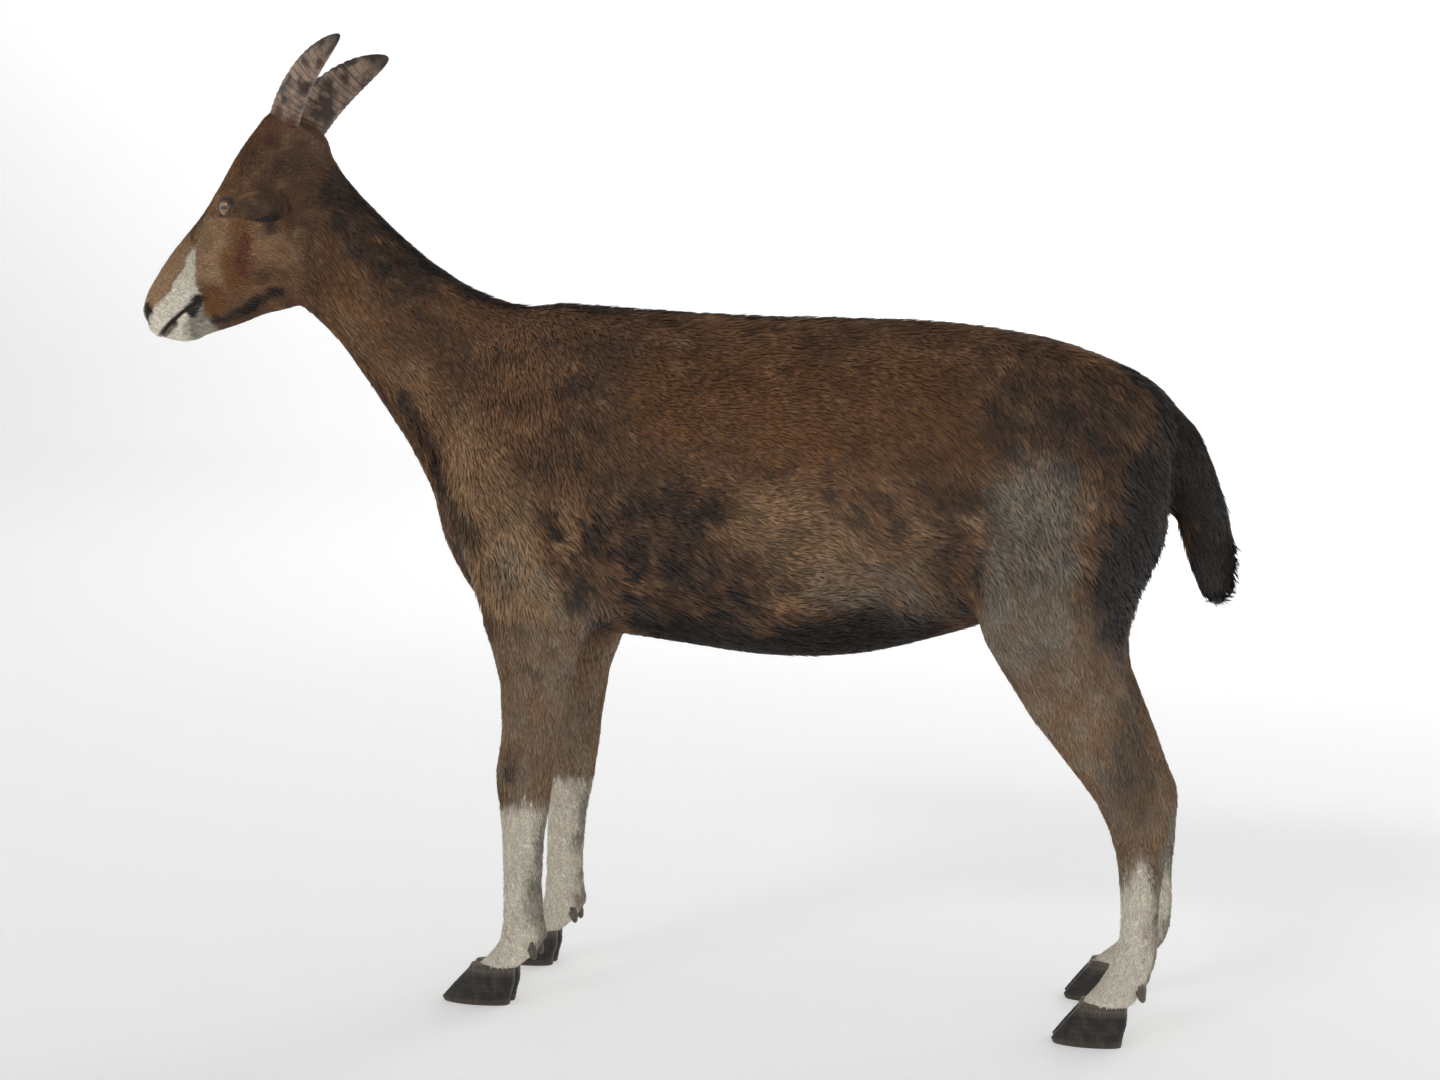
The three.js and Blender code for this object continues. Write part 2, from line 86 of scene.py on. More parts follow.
# The left eye looks out, a little forwards and up. Its opening slopes down towards the nose.
EYE_AXIS = unit(0.90 * np.array([1, 0, 0]) + 0.36 * NOSEWARDS + 0.18 * BROWWARDS)
OPENING_SLOPE = np.array([0, -0.86, -0.50])
OPENING_ALONG = unit(OPENING_SLOPE - EYE_AXIS * (OPENING_SLOPE @ EYE_AXIS))
OPENING_UP = np.cross(OPENING_ALONG, EYE_AXIS)


def linear(code):
    """A colour given as #rrggbb, as linear red, green and blue."""
    parts = [int(code[i:i + 2], 16) / 255 for i in (1, 3, 5)]
    return tuple(c / 12.92 if c <= 0.04045 else ((c + 0.055) / 1.055) ** 2.4 for c in parts)


def length_of(name, default, description):
    return FloatProperty(name=name, description=description, default=default, min=0, unit="LENGTH",
                         precision=5)


def colour_of(name, code, description):
    return FloatVectorProperty(name=name, description=description, default=linear(code), size=3,
                               min=0, max=1, subtype="COLOR")


class GoatSizes(bpy.types.PropertyGroup):
    """Sizes of the skin, coat, eyes, horns and hooves"""
    grid: length_of("Skin grid", 0.003, "Spacing of the skin's points before it is thinned on the body")
    body_depth: length_of("Body coat depth", 0.0032, "How far the skin lies inside the frame on the body")
    leg_depth: length_of("Leg coat depth", 0.0014, "How far the skin lies inside the frame on the legs")
    face_depth: length_of("Face coat depth", 0.0011, "How far the skin lies inside the frame on the head")
    ear_depth: length_of("Ear coat depth", 0.0007, "How far the skin lies inside the frame on the ears")
    lid: length_of("Lid thickness", 0.0018, "Thickness of the eyelids over the ball")
    opening_length: length_of("Eye opening length", 0.0280, "From one corner of the eye to the other")
    opening_upper: length_of("Upper lid height", 0.0086, "Eye opening above the line of its corners")
    opening_lower: length_of("Lower lid depth", 0.0068, "Eye opening below the line of its corners")
    pupil_length: length_of("Pupil length", 0.0098, "Length of the level slot pupil")
    pupil_height: length_of("Pupil height", 0.0034, "Height of the level slot pupil")
    horn_rings: IntProperty(name="Horn rings", description="Cross ridges on a horn", default=17, min=0)
    hoof_rings: IntProperty(name="Hoof rings", description="Growth lines on a claw", default=7, min=0)
    tufts: IntProperty(name="Tufts", description="Tufts in the whole coat", default=140000, min=0)


class GoatColours(bpy.types.PropertyGroup):
    """Colours of the coat, horns, hooves and eyes"""
    brown: colour_of("Brown", "#7a5639", "Back, neck and face")
    # Sand also paints a highlight on each ear's front rim. Grey paints shade down the back of the lower
    # legs and under the chin. Dark is partly painted shade along the back and under the belly, and paints
    # shadow below each ear's root and on each ear's rear rim.
    sand: colour_of("Sand", "#ab8863", "Shoulder, flank and throat")
    grey: colour_of("Grey", "#908879", "Band down the thigh and fringe of the flank")
    dark: colour_of("Dark", "#231b15", "Back line, belly line, tail and patches")
    cream: colour_of("Cream", "#eee5d2", "Lower legs and muzzle")
    ochre: colour_of("Ochre", "#7c5026", "Cheek and forehead")
    rust: colour_of("Rust", "#67321f", "Small patches on the head")
    bare: colour_of("Bare skin", "#2b2422", "Rims of the nostrils, lips and eyelids")


def sizes():
    return bpy.context.scene.goat_sizes


def colours():
    return bpy.context.scene.goat_colours


# ---- working on meshes ----

def only(piece):
    """Selects one piece and nothing else, and makes it active."""
    bpy.ops.object.select_all(action="DESELECT")
    piece.select_set(True)
    bpy.context.view_layer.objects.active = piece


def finish_modifier(piece, kind, **settings):
    only(piece)
    modifier = piece.modifiers.new(kind.title(), kind)
    for name, value in settings.items():
        setattr(modifier, name, value)
    bpy.ops.object.modifier_apply(modifier=modifier.name)


def in_edit_mode(piece, *steps):
    """Selects all of a piece in edit mode and takes the steps there."""
    only(piece)
    bpy.ops.object.mode_set(mode="EDIT")
    bpy.ops.mesh.select_all(action="SELECT")
    for step in steps:
        step()
    bpy.ops.object.mode_set(mode="OBJECT")


def tube(name, sides, rings):
    """A closed tube to be shaped: a filled circle extruded again and again. Gives the piece, how far
    along it each point is, from 0 to 1, and its angle round the tube."""
    bpy.ops.object.select_all(action="DESELECT")
    bpy.ops.mesh.primitive_circle_add(vertices=sides, radius=1, fill_type="NGON")
    piece = bpy.context.object
    piece.name = piece.data.name = name
    move = {"value": (0, 0, 1)}
    extrude = lambda: bpy.ops.mesh.extrude_region_move(TRANSFORM_OT_translate=move)
    in_edit_mode(piece, *[extrude] * (rings - 1))
    x, y, z = places(piece.data).T
    return piece, z / (rings - 1), np.arctan2(y, x)


def shaped(piece, points, angle=0.9):
    """Puts a piece's points in place, turns its faces outwards and smooths all but sharp edges."""
    place_all(piece.data, points)
    in_edit_mode(piece, lambda: bpy.ops.mesh.normals_make_consistent(inside=False))
    only(piece)
    bpy.ops.object.shade_smooth_by_angle(angle=angle)
    return piece


def numbers(items, field, width, kind=np.float32):
    """One field of every item, in rows of the given width."""
    found = np.empty(len(items) * width, kind)
    items.foreach_get(field, found)
    return found.reshape(-1, width).astype(float if kind == np.float32 else kind)


def places(mesh):
    return numbers(mesh.vertices, "co", 3)


def normals_of(mesh):
    return numbers(mesh.vertices, "normal", 3)


def place_all(mesh, points):
    mesh.vertices.foreach_set("co", points.astype(np.float32).ravel())
    mesh.update()


def store(mesh, name, values):
    """Keeps one number or three for each point of a mesh."""
    values = np.asarray(values, np.float32)
    kind, field = ("FLOAT", "value") if values.ndim == 1 else ("FLOAT_VECTOR", "vector")
    attribute = mesh.attributes.get(name) or mesh.attributes.new(name, kind, "POINT")
    attribute.data.foreach_set(field, values.ravel())


def stored(mesh, name):
    """The single numbers kept under a name."""
    return numbers(mesh.attributes[name].data, "value", 1)[:, 0]


class Net:
    """The edges of a mesh, for spreading numbers over its points."""

    def __init__(self, mesh):
        ends = numbers(mesh.edges, "vertices", 2, np.int32)
        start, end = np.concatenate([ends, ends[:, ::-1]]).T
        order = np.argsort(start, kind="stable")
        self.start, self.end = start[order], end[order]
        self.count = np.bincount(start, minlength=len(mesh.vertices))
        self.first = np.concatenate([[0], np.cumsum(self.count)[:-1]])

    def total(self, per_edge):
        return np.add.reduceat(per_edge, self.first, axis=0)

    def spread(self, values, rounds, share):
        """Each point moves towards the mean of its neighbours by a share, again and again."""
        values = values.astype(float)
        share = np.broadcast_to(share, len(values))
        if values.ndim > 1:
            share = share[:, None]
        count = self.count if values.ndim == 1 else self.count[:, None]
        for _ in range(rounds):
            values = values + share * (self.total(values[self.end]) / count - values)
        return values

    def rounded(self, points, rounds, share):
        """Spreads points out and gives back what that takes off broad shapes."""
        once = self.spread(points, rounds, share)
        return once + self.spread(points - once, rounds, share)


NOISE_VALUES = 4096         # a power of two
NOISE_STRIDES = (73856093, 19349663, 83492791)


def lattice_noise(points, scale, seed):
    """Smooth noise in space from -1 to 1, whose lumps are as wide as scale."""
    table = np.random.default_rng(seed).uniform(-1, 1, NOISE_VALUES)
    cell = np.floor(points / scale).astype(np.int64)
    share = points / scale - cell
    share = share * share * (3 - 2 * share)
    total = np.zeros(len(points))
    for corner in np.ndindex(2, 2, 2):
        x, y, z = ((cell + corner) * NOISE_STRIDES).T
        weight = np.prod(np.where(corner, share, 1 - share), axis=1)
        total += weight * table[(x ^ y ^ z) & (NOISE_VALUES - 1)]
    return total


def ramp(values, low, high):
    """0 below low, 1 above high, and a smooth step between."""
    share = np.clip((values - low) / (high - low), 0, 1)
    return share * share * (3 - 2 * share)


def bell(distance, reach):
    return np.exp(-(distance / reach) ** 2)


def columns(*parts):
    return np.stack(parts, 1)


def on_axes(*parts):
    """Points from their distances along axes, given as pairs of the distances and the axis."""
    return sum(np.outer(length, axis) for length, axis in parts)


def mirrored(points):
    """The points brought over to the goat's left side."""
    return columns(np.abs(points[:, 0]), points[:, 1], points[:, 2])


def from_line(points, start, end):
    """Distance of points from a straight line between two places, given in millimetres."""
    start, end = np.array(start) * MM, np.array(end) * MM
    along = end - start
    share = np.clip((points - start) @ along / (along @ along), 0, 1)
    return np.linalg.norm(points - start - share[:, None] * along, axis=1)


def coat_depths():
    """How deep the coat is in each region."""
    size = sizes()
    return np.array([size.face_depth, *[size.body_depth] * 3, size.leg_depth, size.ear_depth])


def on_head(points):
    """Distances along the muzzle and up from it, in millimetres from the middle of the face."""
    away = (points - HEAD_ORIGIN) / MM
    return away @ NOSEWARDS, away @ BROWWARDS


# ---- skin ----

GAP_GROWTH = 0.0004         # closes the cuts between the frame's nodes
SAME_PLACE = 1e-6           # corners of the frame's triangles that are this near are one
HORN_BED = 0.018            # radius of the flesh that fills a horn's socket


def region_of(node):
    return REGIONS.index(node.split("_")[0])


def grown_copy(node):
    piece = bpy.data.objects.new("flesh", NODES[node].data.copy())
    bpy.context.collection.objects.link(piece)
    in_edit_mode(piece, lambda: bpy.ops.mesh.remove_doubles(threshold=SAME_PLACE))
    place_all(piece.data, places(piece.data) + GAP_GROWTH * normals_of(piece.data))
    return piece


def ball(centre, radius):
    bpy.ops.object.select_all(action="DESELECT")
    bpy.ops.mesh.primitive_uv_sphere_add(segments=48, ring_count=24, radius=radius, location=centre)
    piece = bpy.context.object
    bpy.ops.object.transform_apply(location=True, rotation=True, scale=True)
    return piece


# An ear stands out sideways and droops a little. Its leaf is rolled up at the root and opens out.
EAR_LENGTH, EAR_WIDTH = 0.112, 0.048
EAR_OUT = unit([0.955, -0.06, -0.2955])
EAR_HOLLOW = unit(NOSEWARDS - EAR_OUT * (NOSEWARDS @ EAR_OUT))
EAR_WIDE = np.cross(EAR_OUT, EAR_HOLLOW)
ROOT_ROLL, TIP_ROLL = 2.6, 1.0          # radians
ROOT_THICKNESS, LEAF_THICKNESS = 0.0062, 0.0030
EAR_TIP = 0.0012                        # least half width
EAR_RIDGE, EAR_RIDGES = 0.0007, 9       # height and number of the ridges inside


def ear_flesh(side):
    piece, along, angle = tube("flesh", 44, 64)
    across, front = np.sin(angle), -np.cos(angle)
    leaf = np.sin(np.pi * (0.16 + 0.82 * along) ** 0.8) ** 0.7
    half = EAR_WIDTH / 2 * leaf * (1 - 0.6 * ramp(along, 0.92, 1.01)) - sizes().ear_depth
    half = np.maximum(half, EAR_TIP)
    roll = ROOT_ROLL + (TIP_ROLL - ROOT_ROLL) * along ** 0.6
    thick = ROOT_THICKNESS + (LEAF_THICKNESS - ROOT_THICKNESS) * ramp(along, 0, 0.35)
    reach = 2 * half / roll - front * np.abs(front) ** -0.4 * thick / 2
    ridges = EAR_RIDGE * np.cos(EAR_RIDGES * across)
    reach -= ridges * ramp(front, 0.2, 0.7) * ramp(along, 0.1, 0.3) * (1 - along)
    turn = roll * across / 2
    points = EAR_ROOT + on_axes((along * EAR_LENGTH, EAR_OUT), (reach * np.sin(turn), EAR_WIDE),
                                (2 * half / roll - reach * np.cos(turn), EAR_HOLLOW))
    return shaped(piece, points * [side, 1, 1])


def united(whole, others):
    for other in others:
        finish_modifier(whole, "BOOLEAN", operation="UNION", solver="MANIFOLD", object=other)
        bpy.data.objects.remove(other)
    return whole


def joined_flesh():
    """All flesh but the ears as one closed solid, with lids over the eyes and no sockets."""
    solids = [grown_copy(node) for node in FLESH if not node.startswith("ear")]
    lid_ball = EYE_RADIUS + sizes().lid + sizes().face_depth
    for side in (1, -1):
        solids.append(ball(EYE * [side, 1, 1], lid_ball))
        solids.append(ball(HORN_ROOT * [side, 1, 1], HORN_BED))
    return united(solids[0], solids[1:])


JOIN_ROUNDS, JOIN_SHARE = 40, 0.8       # how far regions fade into each other


def region_weights(points, net):
    """How much each point belongs to each region, fading over their joins."""
    corners, faces, owner = [], [], []
    for node in FLESH:
        mesh = NODES[node].data
        first = len(corners)
        corners += [v.co.copy() for v in mesh.vertices]
        faces += [[first + i for i in face.vertices] for face in mesh.polygons]
        owner += [region_of(node)] * len(mesh.polygons)
    tree = BVHTree.FromPolygons(corners, faces)
    nearest = [tree.find_nearest(point)[2] for point in points.tolist()]
    labels = np.eye(len(REGIONS))[np.array(owner)[nearest]]
    return net.spread(labels, JOIN_ROUNDS, JOIN_SHARE)


# Ridges (above 0) and hollows (below 0) of the body. Each is its height and reach, and the line it
# follows, all in millimetres and drawn for the left side.
BODY_FORMS = (
    (3.0, 24, (55, -150, 705), (104, -180, 505)),     # edge of the shoulder blade
    (3.5, 26, (80, -215, 520), (88, -222, 480)),      # point of the shoulder
    (2.5, 40, (108, -70, 520), (106, -60, 470)),      # muscle over the elbow
    (3.5, 20, (100, -28, 432), (92, -25, 420)),       # elbow
    (-3.0, 17, (120, 2, 455), (84, 0, 402)),          # fold behind the elbow
    (-3.0, 26, (100, -118, 560), (104, -122, 450)),   # hollow before the shoulder muscle
    (-7.0, 42, (100, 318, 585), (98, 322, 560)),      # hollow of the flank
    (4.0, 22, (84, 348, 660), (88, 356, 650)),        # hip bone
    (3.0, 20, (40, 515, 632), (58, 528, 612)),        # pin bone
    (-3.0, 16, (104, 322, 490), (86, 345, 415)),      # fold from the flank to the stifle
    (3.0, 26, (104, 372, 405), (100, 380, 380)),      # stifle
    (-2.5, 13, (92, 508, 590), (102, 486, 420)),      # between the thigh's two muscles
    (2.0, 30, (112, 438, 520), (112, 430, 440)),      # fullness of the thigh
    (1.6, 10, (0, -150, 745), (0, 470, 690)),         # spine
    (3.0, 11, (80, 535, 226), (80, 532, 236)),        # point of the hock
    (-3.4, 9, (97, 500, 305), (92, 518, 245)),        # outside, between tendon and shin
    (-3.4, 9, (64, 500, 305), (69, 518, 245)),        # inside
    (-1.5, 6, (95, 513, 200), (94, 511, 110)),        # groove along the hind tendon, outside
    (-1.5, 6, (65, 513, 200), (66, 511, 110)),        # inside
    (1.8, 15, (80, -154, 250), (80, -153, 240)),      # front of the knee
    (1.4, 9, (80, -97, 262), (80, -97, 256)),         # bone behind the knee
    (-1.4, 6, (94, -118, 205), (94, -118, 100)),      # groove along the front tendon, outside
    (-1.4, 6, (66, -118, 205), (66, -118, 100)),      # inside
    (-2.5, 12, (44, -392, 765), (60, -238, 560)),     # groove down the side of the neck
    (-3.5, 13, (46, -402, 862), (42, -408, 752)),     # behind the jaw
    (1.5, 14, (0, -425, 735), (0, -300, 590)),        # windpipe
)
# The clefts between the two toes, before and behind, in millimetres: depth, reach and line.
TOE_CLEFTS = (
    (-3.5, 3.2, (80, -180, 36), (80, -160, 58)),
    (-3.0, 3.2, (80, -128, 36), (80, -112, 56)),
    (-3.5, 3.2, (80, 450, 36), (80, 466, 58)),
    (-3.0, 3.2, (80, 500, 36), (80, 514, 56)),
)
# Forms of the head, in the head's own axes: across, along the muzzle, and up from it.
HEAD_FORMS = (
    (2.4, 12, (41, 26, -24), (30, 84, -28)),          # crest of the cheek
    (-2.2, 13, (36, 42, 4), (25, 88, 4)),             # beside the bridge of the nose
    (3.2, 26, (44, 8, -66), (44, 26, -72)),           # chewing muscle
    (-2.6, 13, (32, 74, -52), (24, 104, -50)),        # hollow in front of it
    (-3.0, 15, (46, -36, 2), (45, -48, -12)),         # temple
    (2.6, 9, (46, -24, 15), (44, 10, 15)),            # brow
    (2.6, 11, (48, -16, -20), (50, -52, -14)),        # arch of the cheekbone
    (-1.2, 2.4, (50, 9, -9), (44, 20, -17)),          # groove below the inner corner of the eye
    (1.2, 9, (0, -10, 38), (0, 110, 26)),             # bridge of the nose
    (-1.6, 12, (0, -40, 42), (0, -52, 44)),           # dip of the forehead
    (3.0, 13, (0, -92, 50), (0, -84, 50)),            # poll between the horns
    (6.0, 17, (38, -98, 10), (36, -112, 4)),          # boss round a horn's root, outside
    (4.0, 14, (28, -98, 36), (34, -106, 20)),         # and before
    (2.2, 9, (0, 148, -48), (6, 140, -54)),           # chin
    (1.2, 8, (22, 136, -18), (14, 160, -24)),         # upper lip
    (1.5, 6, (20, 158, 10), (24, 146, 14)),           # wing of the nostril
    (-1.8, 2.4, (0, 174, -10), (0, 168, -30)),        # groove of the upper lip
    (-1.0, 3.5, (0, 166, 4), (0, 172, -6)),           # between the nostrils
)
# A nostril: across, along, up, depth and reach at places from its inner end to its outer one.
NOSTRIL = np.array([(9, 168, -12, 5, 2.6), (13, 165, -9, 8, 3.6), (18, 161, -6, 8.5, 3.8),
                    (23, 156, -2, 8, 3.4), (26, 150, 2, 6, 2.6), (26, 145, 3, 2, 1.8)])
# The line of the mouth: distance along the muzzle, and height there.
MOUTH_ALONG = (95, 107, 125, 143, 170)
MOUTH_UP = (-42, -38, -33, -31, -29)
MOUTH_DEPTH, MOUTH_REACH = 3.0, 1.7
NOSTRIL_RIM = 1.1, 2.1, 0.7             # height of the rim, where it lies and how wide it is
# The lips stand out or draw in beside the mouth: how far, at what height over it, how wide.
LIPS = ((-0.7, -5, 3.5), (0.8, 4.5, 3.5))
NOSE_PAD = ((0, 176, 0), (0, 172, -14))
NOSTRIL_BEADS = 16          # a nostril is hollowed out by this many overlapping balls


def head_places(points):
    """Points in the head's own axes, in millimetres, brought over to the left side."""
    along, up = on_head(points)
    return columns(np.abs(points[:, 0]) / MM, along, up)


def from_path(points, path):
    """Distance in millimetres of points in the head's axes from a line through several places."""
    pairs = zip(path[:-1], path[1:])
    return np.min([from_line(points * MM, start, end) for start, end in pairs], axis=0) / MM


def raised(points, forms):
    """How far forms lift points given in millimetres, in metres."""
    lift = np.zeros(len(points))
    for height, reach, start, end in forms:
        lift += height * MM * bell(from_path(points, (start, end)), reach)
    return lift


def from_mouth(places_on_head):
    """How far points lie above the line of the mouth, and how much they belong to it."""
    _, along, up = places_on_head.T
    return up - np.interp(along, MOUTH_ALONG, MOUTH_UP), ramp(along, 92, 98)


def nostril(places_on_head):
    """How deep the nostril is at each point, and how far from it the point lies, in its own reach."""
    shares = np.linspace(0, len(NOSTRIL) - 1, NOSTRIL_BEADS)
    beads = columns(*(np.interp(shares, np.arange(len(NOSTRIL)), row) for row in NOSTRIL.T))
    depth, nearest = np.zeros(len(places_on_head)), np.full(len(places_on_head), np.inf)
    for bead in beads:
        away = np.linalg.norm(places_on_head - bead[:3], axis=1) / bead[4]
        depth = np.maximum(depth, bead[3] * bell(away, 1.0))
        nearest = np.minimum(nearest, away)
    return depth, nearest


def face_lift(points):
    """How far the face's forms lift each point."""
    at = head_places(points)
    lift = raised(at, HEAD_FORMS)
    hollow, slit = nostril(at)
    rim, place, width = NOSTRIL_RIM
    lift += rim * MM * bell(slit - place, width) - hollow * MM
    above, belongs = from_mouth(at)
    lips = bell(above, MOUTH_REACH) * MOUTH_DEPTH
    lips -= sum(height * bell(above - place, width) for height, place, width in LIPS)
    return lift - lips * belongs * MM


ALMOND = 1.75              # power of the eye opening's outline: 2 is an oval
SNAP = 0.00030             # points this near the outline are brought onto it
LID_EDGE = 0.0016          # how far in from the outline the lid's edge turns down to the ball
LID_TURN = 2.6 * MM        # and how deep it goes
LID_REACH = 0.0078         # how far out the lids reach over the ball
UPPER_CREASE, LOWER_CREASE, OUTER_CREASE = 1.0 * MM, 0.6 * MM, 0.3 * MM     # depths of the folds


def eye_places(points):
    """Where points lie round an eyeball: the head's side, their distance from its middle, how far
    along and up they are on the ball from the middle of the opening, and how far outside it."""
    size = sizes()
    side = np.where(points[:, :1] < 0, -1.0, 1.0)
    away = points * np.hstack([side, np.ones((len(points), 2))]) - EYE
    distance = np.linalg.norm(away, axis=1)
    along, up, out = (away @ axis for axis in (OPENING_ALONG, OPENING_UP, EYE_AXIS))
    arc = EYE_RADIUS * np.arctan2(np.hypot(along, up), out)
    along, up = (arc * length / np.maximum(np.hypot(along, up), 1e-9) for length in (along, up))
    tall = np.where(up > 0, size.opening_upper, size.opening_lower)
    long = size.opening_length
    share = (np.abs(along / long * 2) ** ALMOND + np.abs(up / tall) ** ALMOND) ** (1 / ALMOND)
    outside = arc * (1 - 1 / np.maximum(share, 1e-6))
    return side, distance, along, up, np.where(distance < 2 * EYE_RADIUS, outside, 1.0)


def open_eyes(points):
    """Opens the lids over each ball along an almond outline, and folds the skin round them."""
    size = sizes()
    side, distance, along, up, outside = eye_places(points)
    rim = EYE_RADIUS + 0.55 * size.lid
    over = rim + 0.45 * size.lid * ramp(outside, 0, 0.0012) + 0.3 * MM * bell(outside - 0.0018, 0.0010)
    above = ramp(up, -0.002, 0.004)
    crease = UPPER_CREASE * bell(outside - 0.0048, 0.0008) * above
    crease += (LOWER_CREASE * bell(outside - 0.0040, 0.0009) * (1 - above)
               + OUTER_CREASE * bell(outside - 0.0068, 0.0009))
    radius = distance + (over - distance) * (1 - ramp(outside, 0.0022, LID_REACH)) - crease
    turned = rim - LID_TURN * ramp(-outside, 0, LID_EDGE)
    radius = np.where(outside < 0, turned, radius)
    snapped = np.abs(outside) < SNAP
    radius = np.where(snapped, rim, radius)
    arc = np.hypot(along, up)
    angle = (arc - np.where(snapped, outside, 0)) / EYE_RADIUS
    ray = np.outer(np.cos(angle), EYE_AXIS)
    for length, axis in ((along, OPENING_ALONG), (up, OPENING_UP)):
        ray += np.outer(np.sin(angle) * length / np.maximum(arc, 1e-9), axis)
    moved = (EYE + ray * radius[:, None]) * np.hstack([side, np.ones((len(points), 2))])
    return np.where((outside < LID_REACH)[:, None], moved, points)


def refine(piece, chosen):
    """Divides the faces whose points are all chosen."""
    mesh = piece.data
    for items in (mesh.vertices, mesh.edges, mesh.polygons):
        items.foreach_set("select", np.zeros(len(items), bool))
    mesh.vertices.foreach_set("select", chosen)
    ends = numbers(mesh.edges, "vertices", 2, np.int32)
    mesh.edges.foreach_set("select", chosen[ends].all(1))
    only(piece)
    bpy.ops.object.mode_set(mode="EDIT")
    bpy.context.tool_settings.mesh_select_mode = (False, True, False)
    bpy.ops.mesh.subdivide(number_cuts=1)
    bpy.ops.object.mode_set(mode="OBJECT")


# How strongly each region is smoothed, which takes the frame's flat faces off.
ROUNDING = (0.2, 0.55, 0.9, 0.2, 0.12, 0.01)
ROUNDING_STEPS = 90
BODY_KEPT = 0.15           # share of the faces that thinning leaves
FRONT_FROM = -45           # the head is refined from here on towards the nose, in millimetres
THINNED_BELOW = 0.03       # thinning touches points that belong less than this to head and ears
ISLAND_ANGLE, ISLAND_MARGIN = 1.15, 0.004


def skin_shape():
    """The skin: the frame's flesh made smooth, drawn in by the coat's depth and given its forms."""
    skin = joined_flesh()
    skin.name = skin.data.name = "skin"
    finish_modifier(skin, "REMESH", mode="VOXEL", voxel_size=sizes().grid)
    united(skin, [ear_flesh(1), ear_flesh(-1)])
    mesh = skin.data
    net = Net(mesh)
    points = places(mesh)
    weights = region_weights(points, net)
    points = net.rounded(points, ROUNDING_STEPS, weights @ ROUNDING)
    place_all(mesh, points)
    depth = weights[:, :5] @ coat_depths()[:5]          # the ears are made at their size
    millimetres = mirrored(points) / MM
    lift = raised(millimetres, BODY_FORMS) * (1 - weights[:, 0]) + raised(millimetres, TOE_CLEFTS)
    place_all(mesh, points + (lift - depth)[:, None] * normals_of(mesh))
    for region, weight in zip(REGIONS, weights.T):
        store(mesh, region, weight)
    thin_body(skin, weights[:, 0] + weights[:, 5] < THINNED_BELOW)
    shape_head(skin)
    drop_flaps(mesh)
    only(skin)
    bpy.ops.object.shade_smooth()
    mesh.uv_layers.new(name="OFBake")
    in_edit_mode(skin, lambda: bpy.ops.uv.smart_project(
        angle_limit=ISLAND_ANGLE, island_margin=ISLAND_MARGIN, scale_to_bounds=True))
    return skin


def drop_flaps(mesh):
    """Deletes the faces that hang on the closed skin by one edge only."""
    work = bmesh.new()
    work.from_mesh(mesh)
    flaps = [face for face in work.faces if sum(edge.is_boundary for edge in face.edges) > 1]
    bmesh.ops.delete(work, geom=flaps, context="FACES")
    work.to_mesh(mesh)
    work.free()


def thin_body(skin, chosen):
    group = skin.vertex_groups.new(name="body")
    group.add(np.flatnonzero(chosen).tolist(), 1.0, "REPLACE")
    finish_modifier(skin, "DECIMATE", ratio=BODY_KEPT, vertex_group=group.name,
                    vertex_group_factor=1.0)
    skin.vertex_groups.clear()


def front_of_head(mesh):
    return (stored(mesh, "head") > 0.5) & (on_head(places(mesh))[0] > FRONT_FROM)


def fine_features(mesh):
    """The points round the eyes, the nostrils and the lips."""
    points = places(mesh)
    at = head_places(points)
    above, _ = from_mouth(at)
    eyes = eye_places(points)[-1] < 1.2 * LID_REACH
    return eyes | (nostril(at)[1] < 4) | (np.abs(above) < 5) & (at[:, 1] > 90)


def lid_rims(mesh):
    outside = eye_places(places(mesh))[-1]
    return np.abs(outside) < 2 * LID_EDGE


def shape_head(skin):
    """Refines the head, more finely round the eyes and the muzzle, and gives it its forms."""
    mesh = skin.data
    for chosen in (front_of_head, fine_features, lid_rims):
        refine(skin, chosen(mesh))
    net = Net(mesh)
    head = stored(mesh, "head")
    inside = ramp(head, 0.6, 0.9)
    points = net.spread(places(mesh), 6, 0.5 * inside)
    place_all(mesh, points)
    place_all(mesh, points + (face_lift(points) * head)[:, None] * normals_of(mesh))
    points = net.spread(places(mesh), 2, 0.4 * inside)
    place_all(mesh, open_eyes(points))
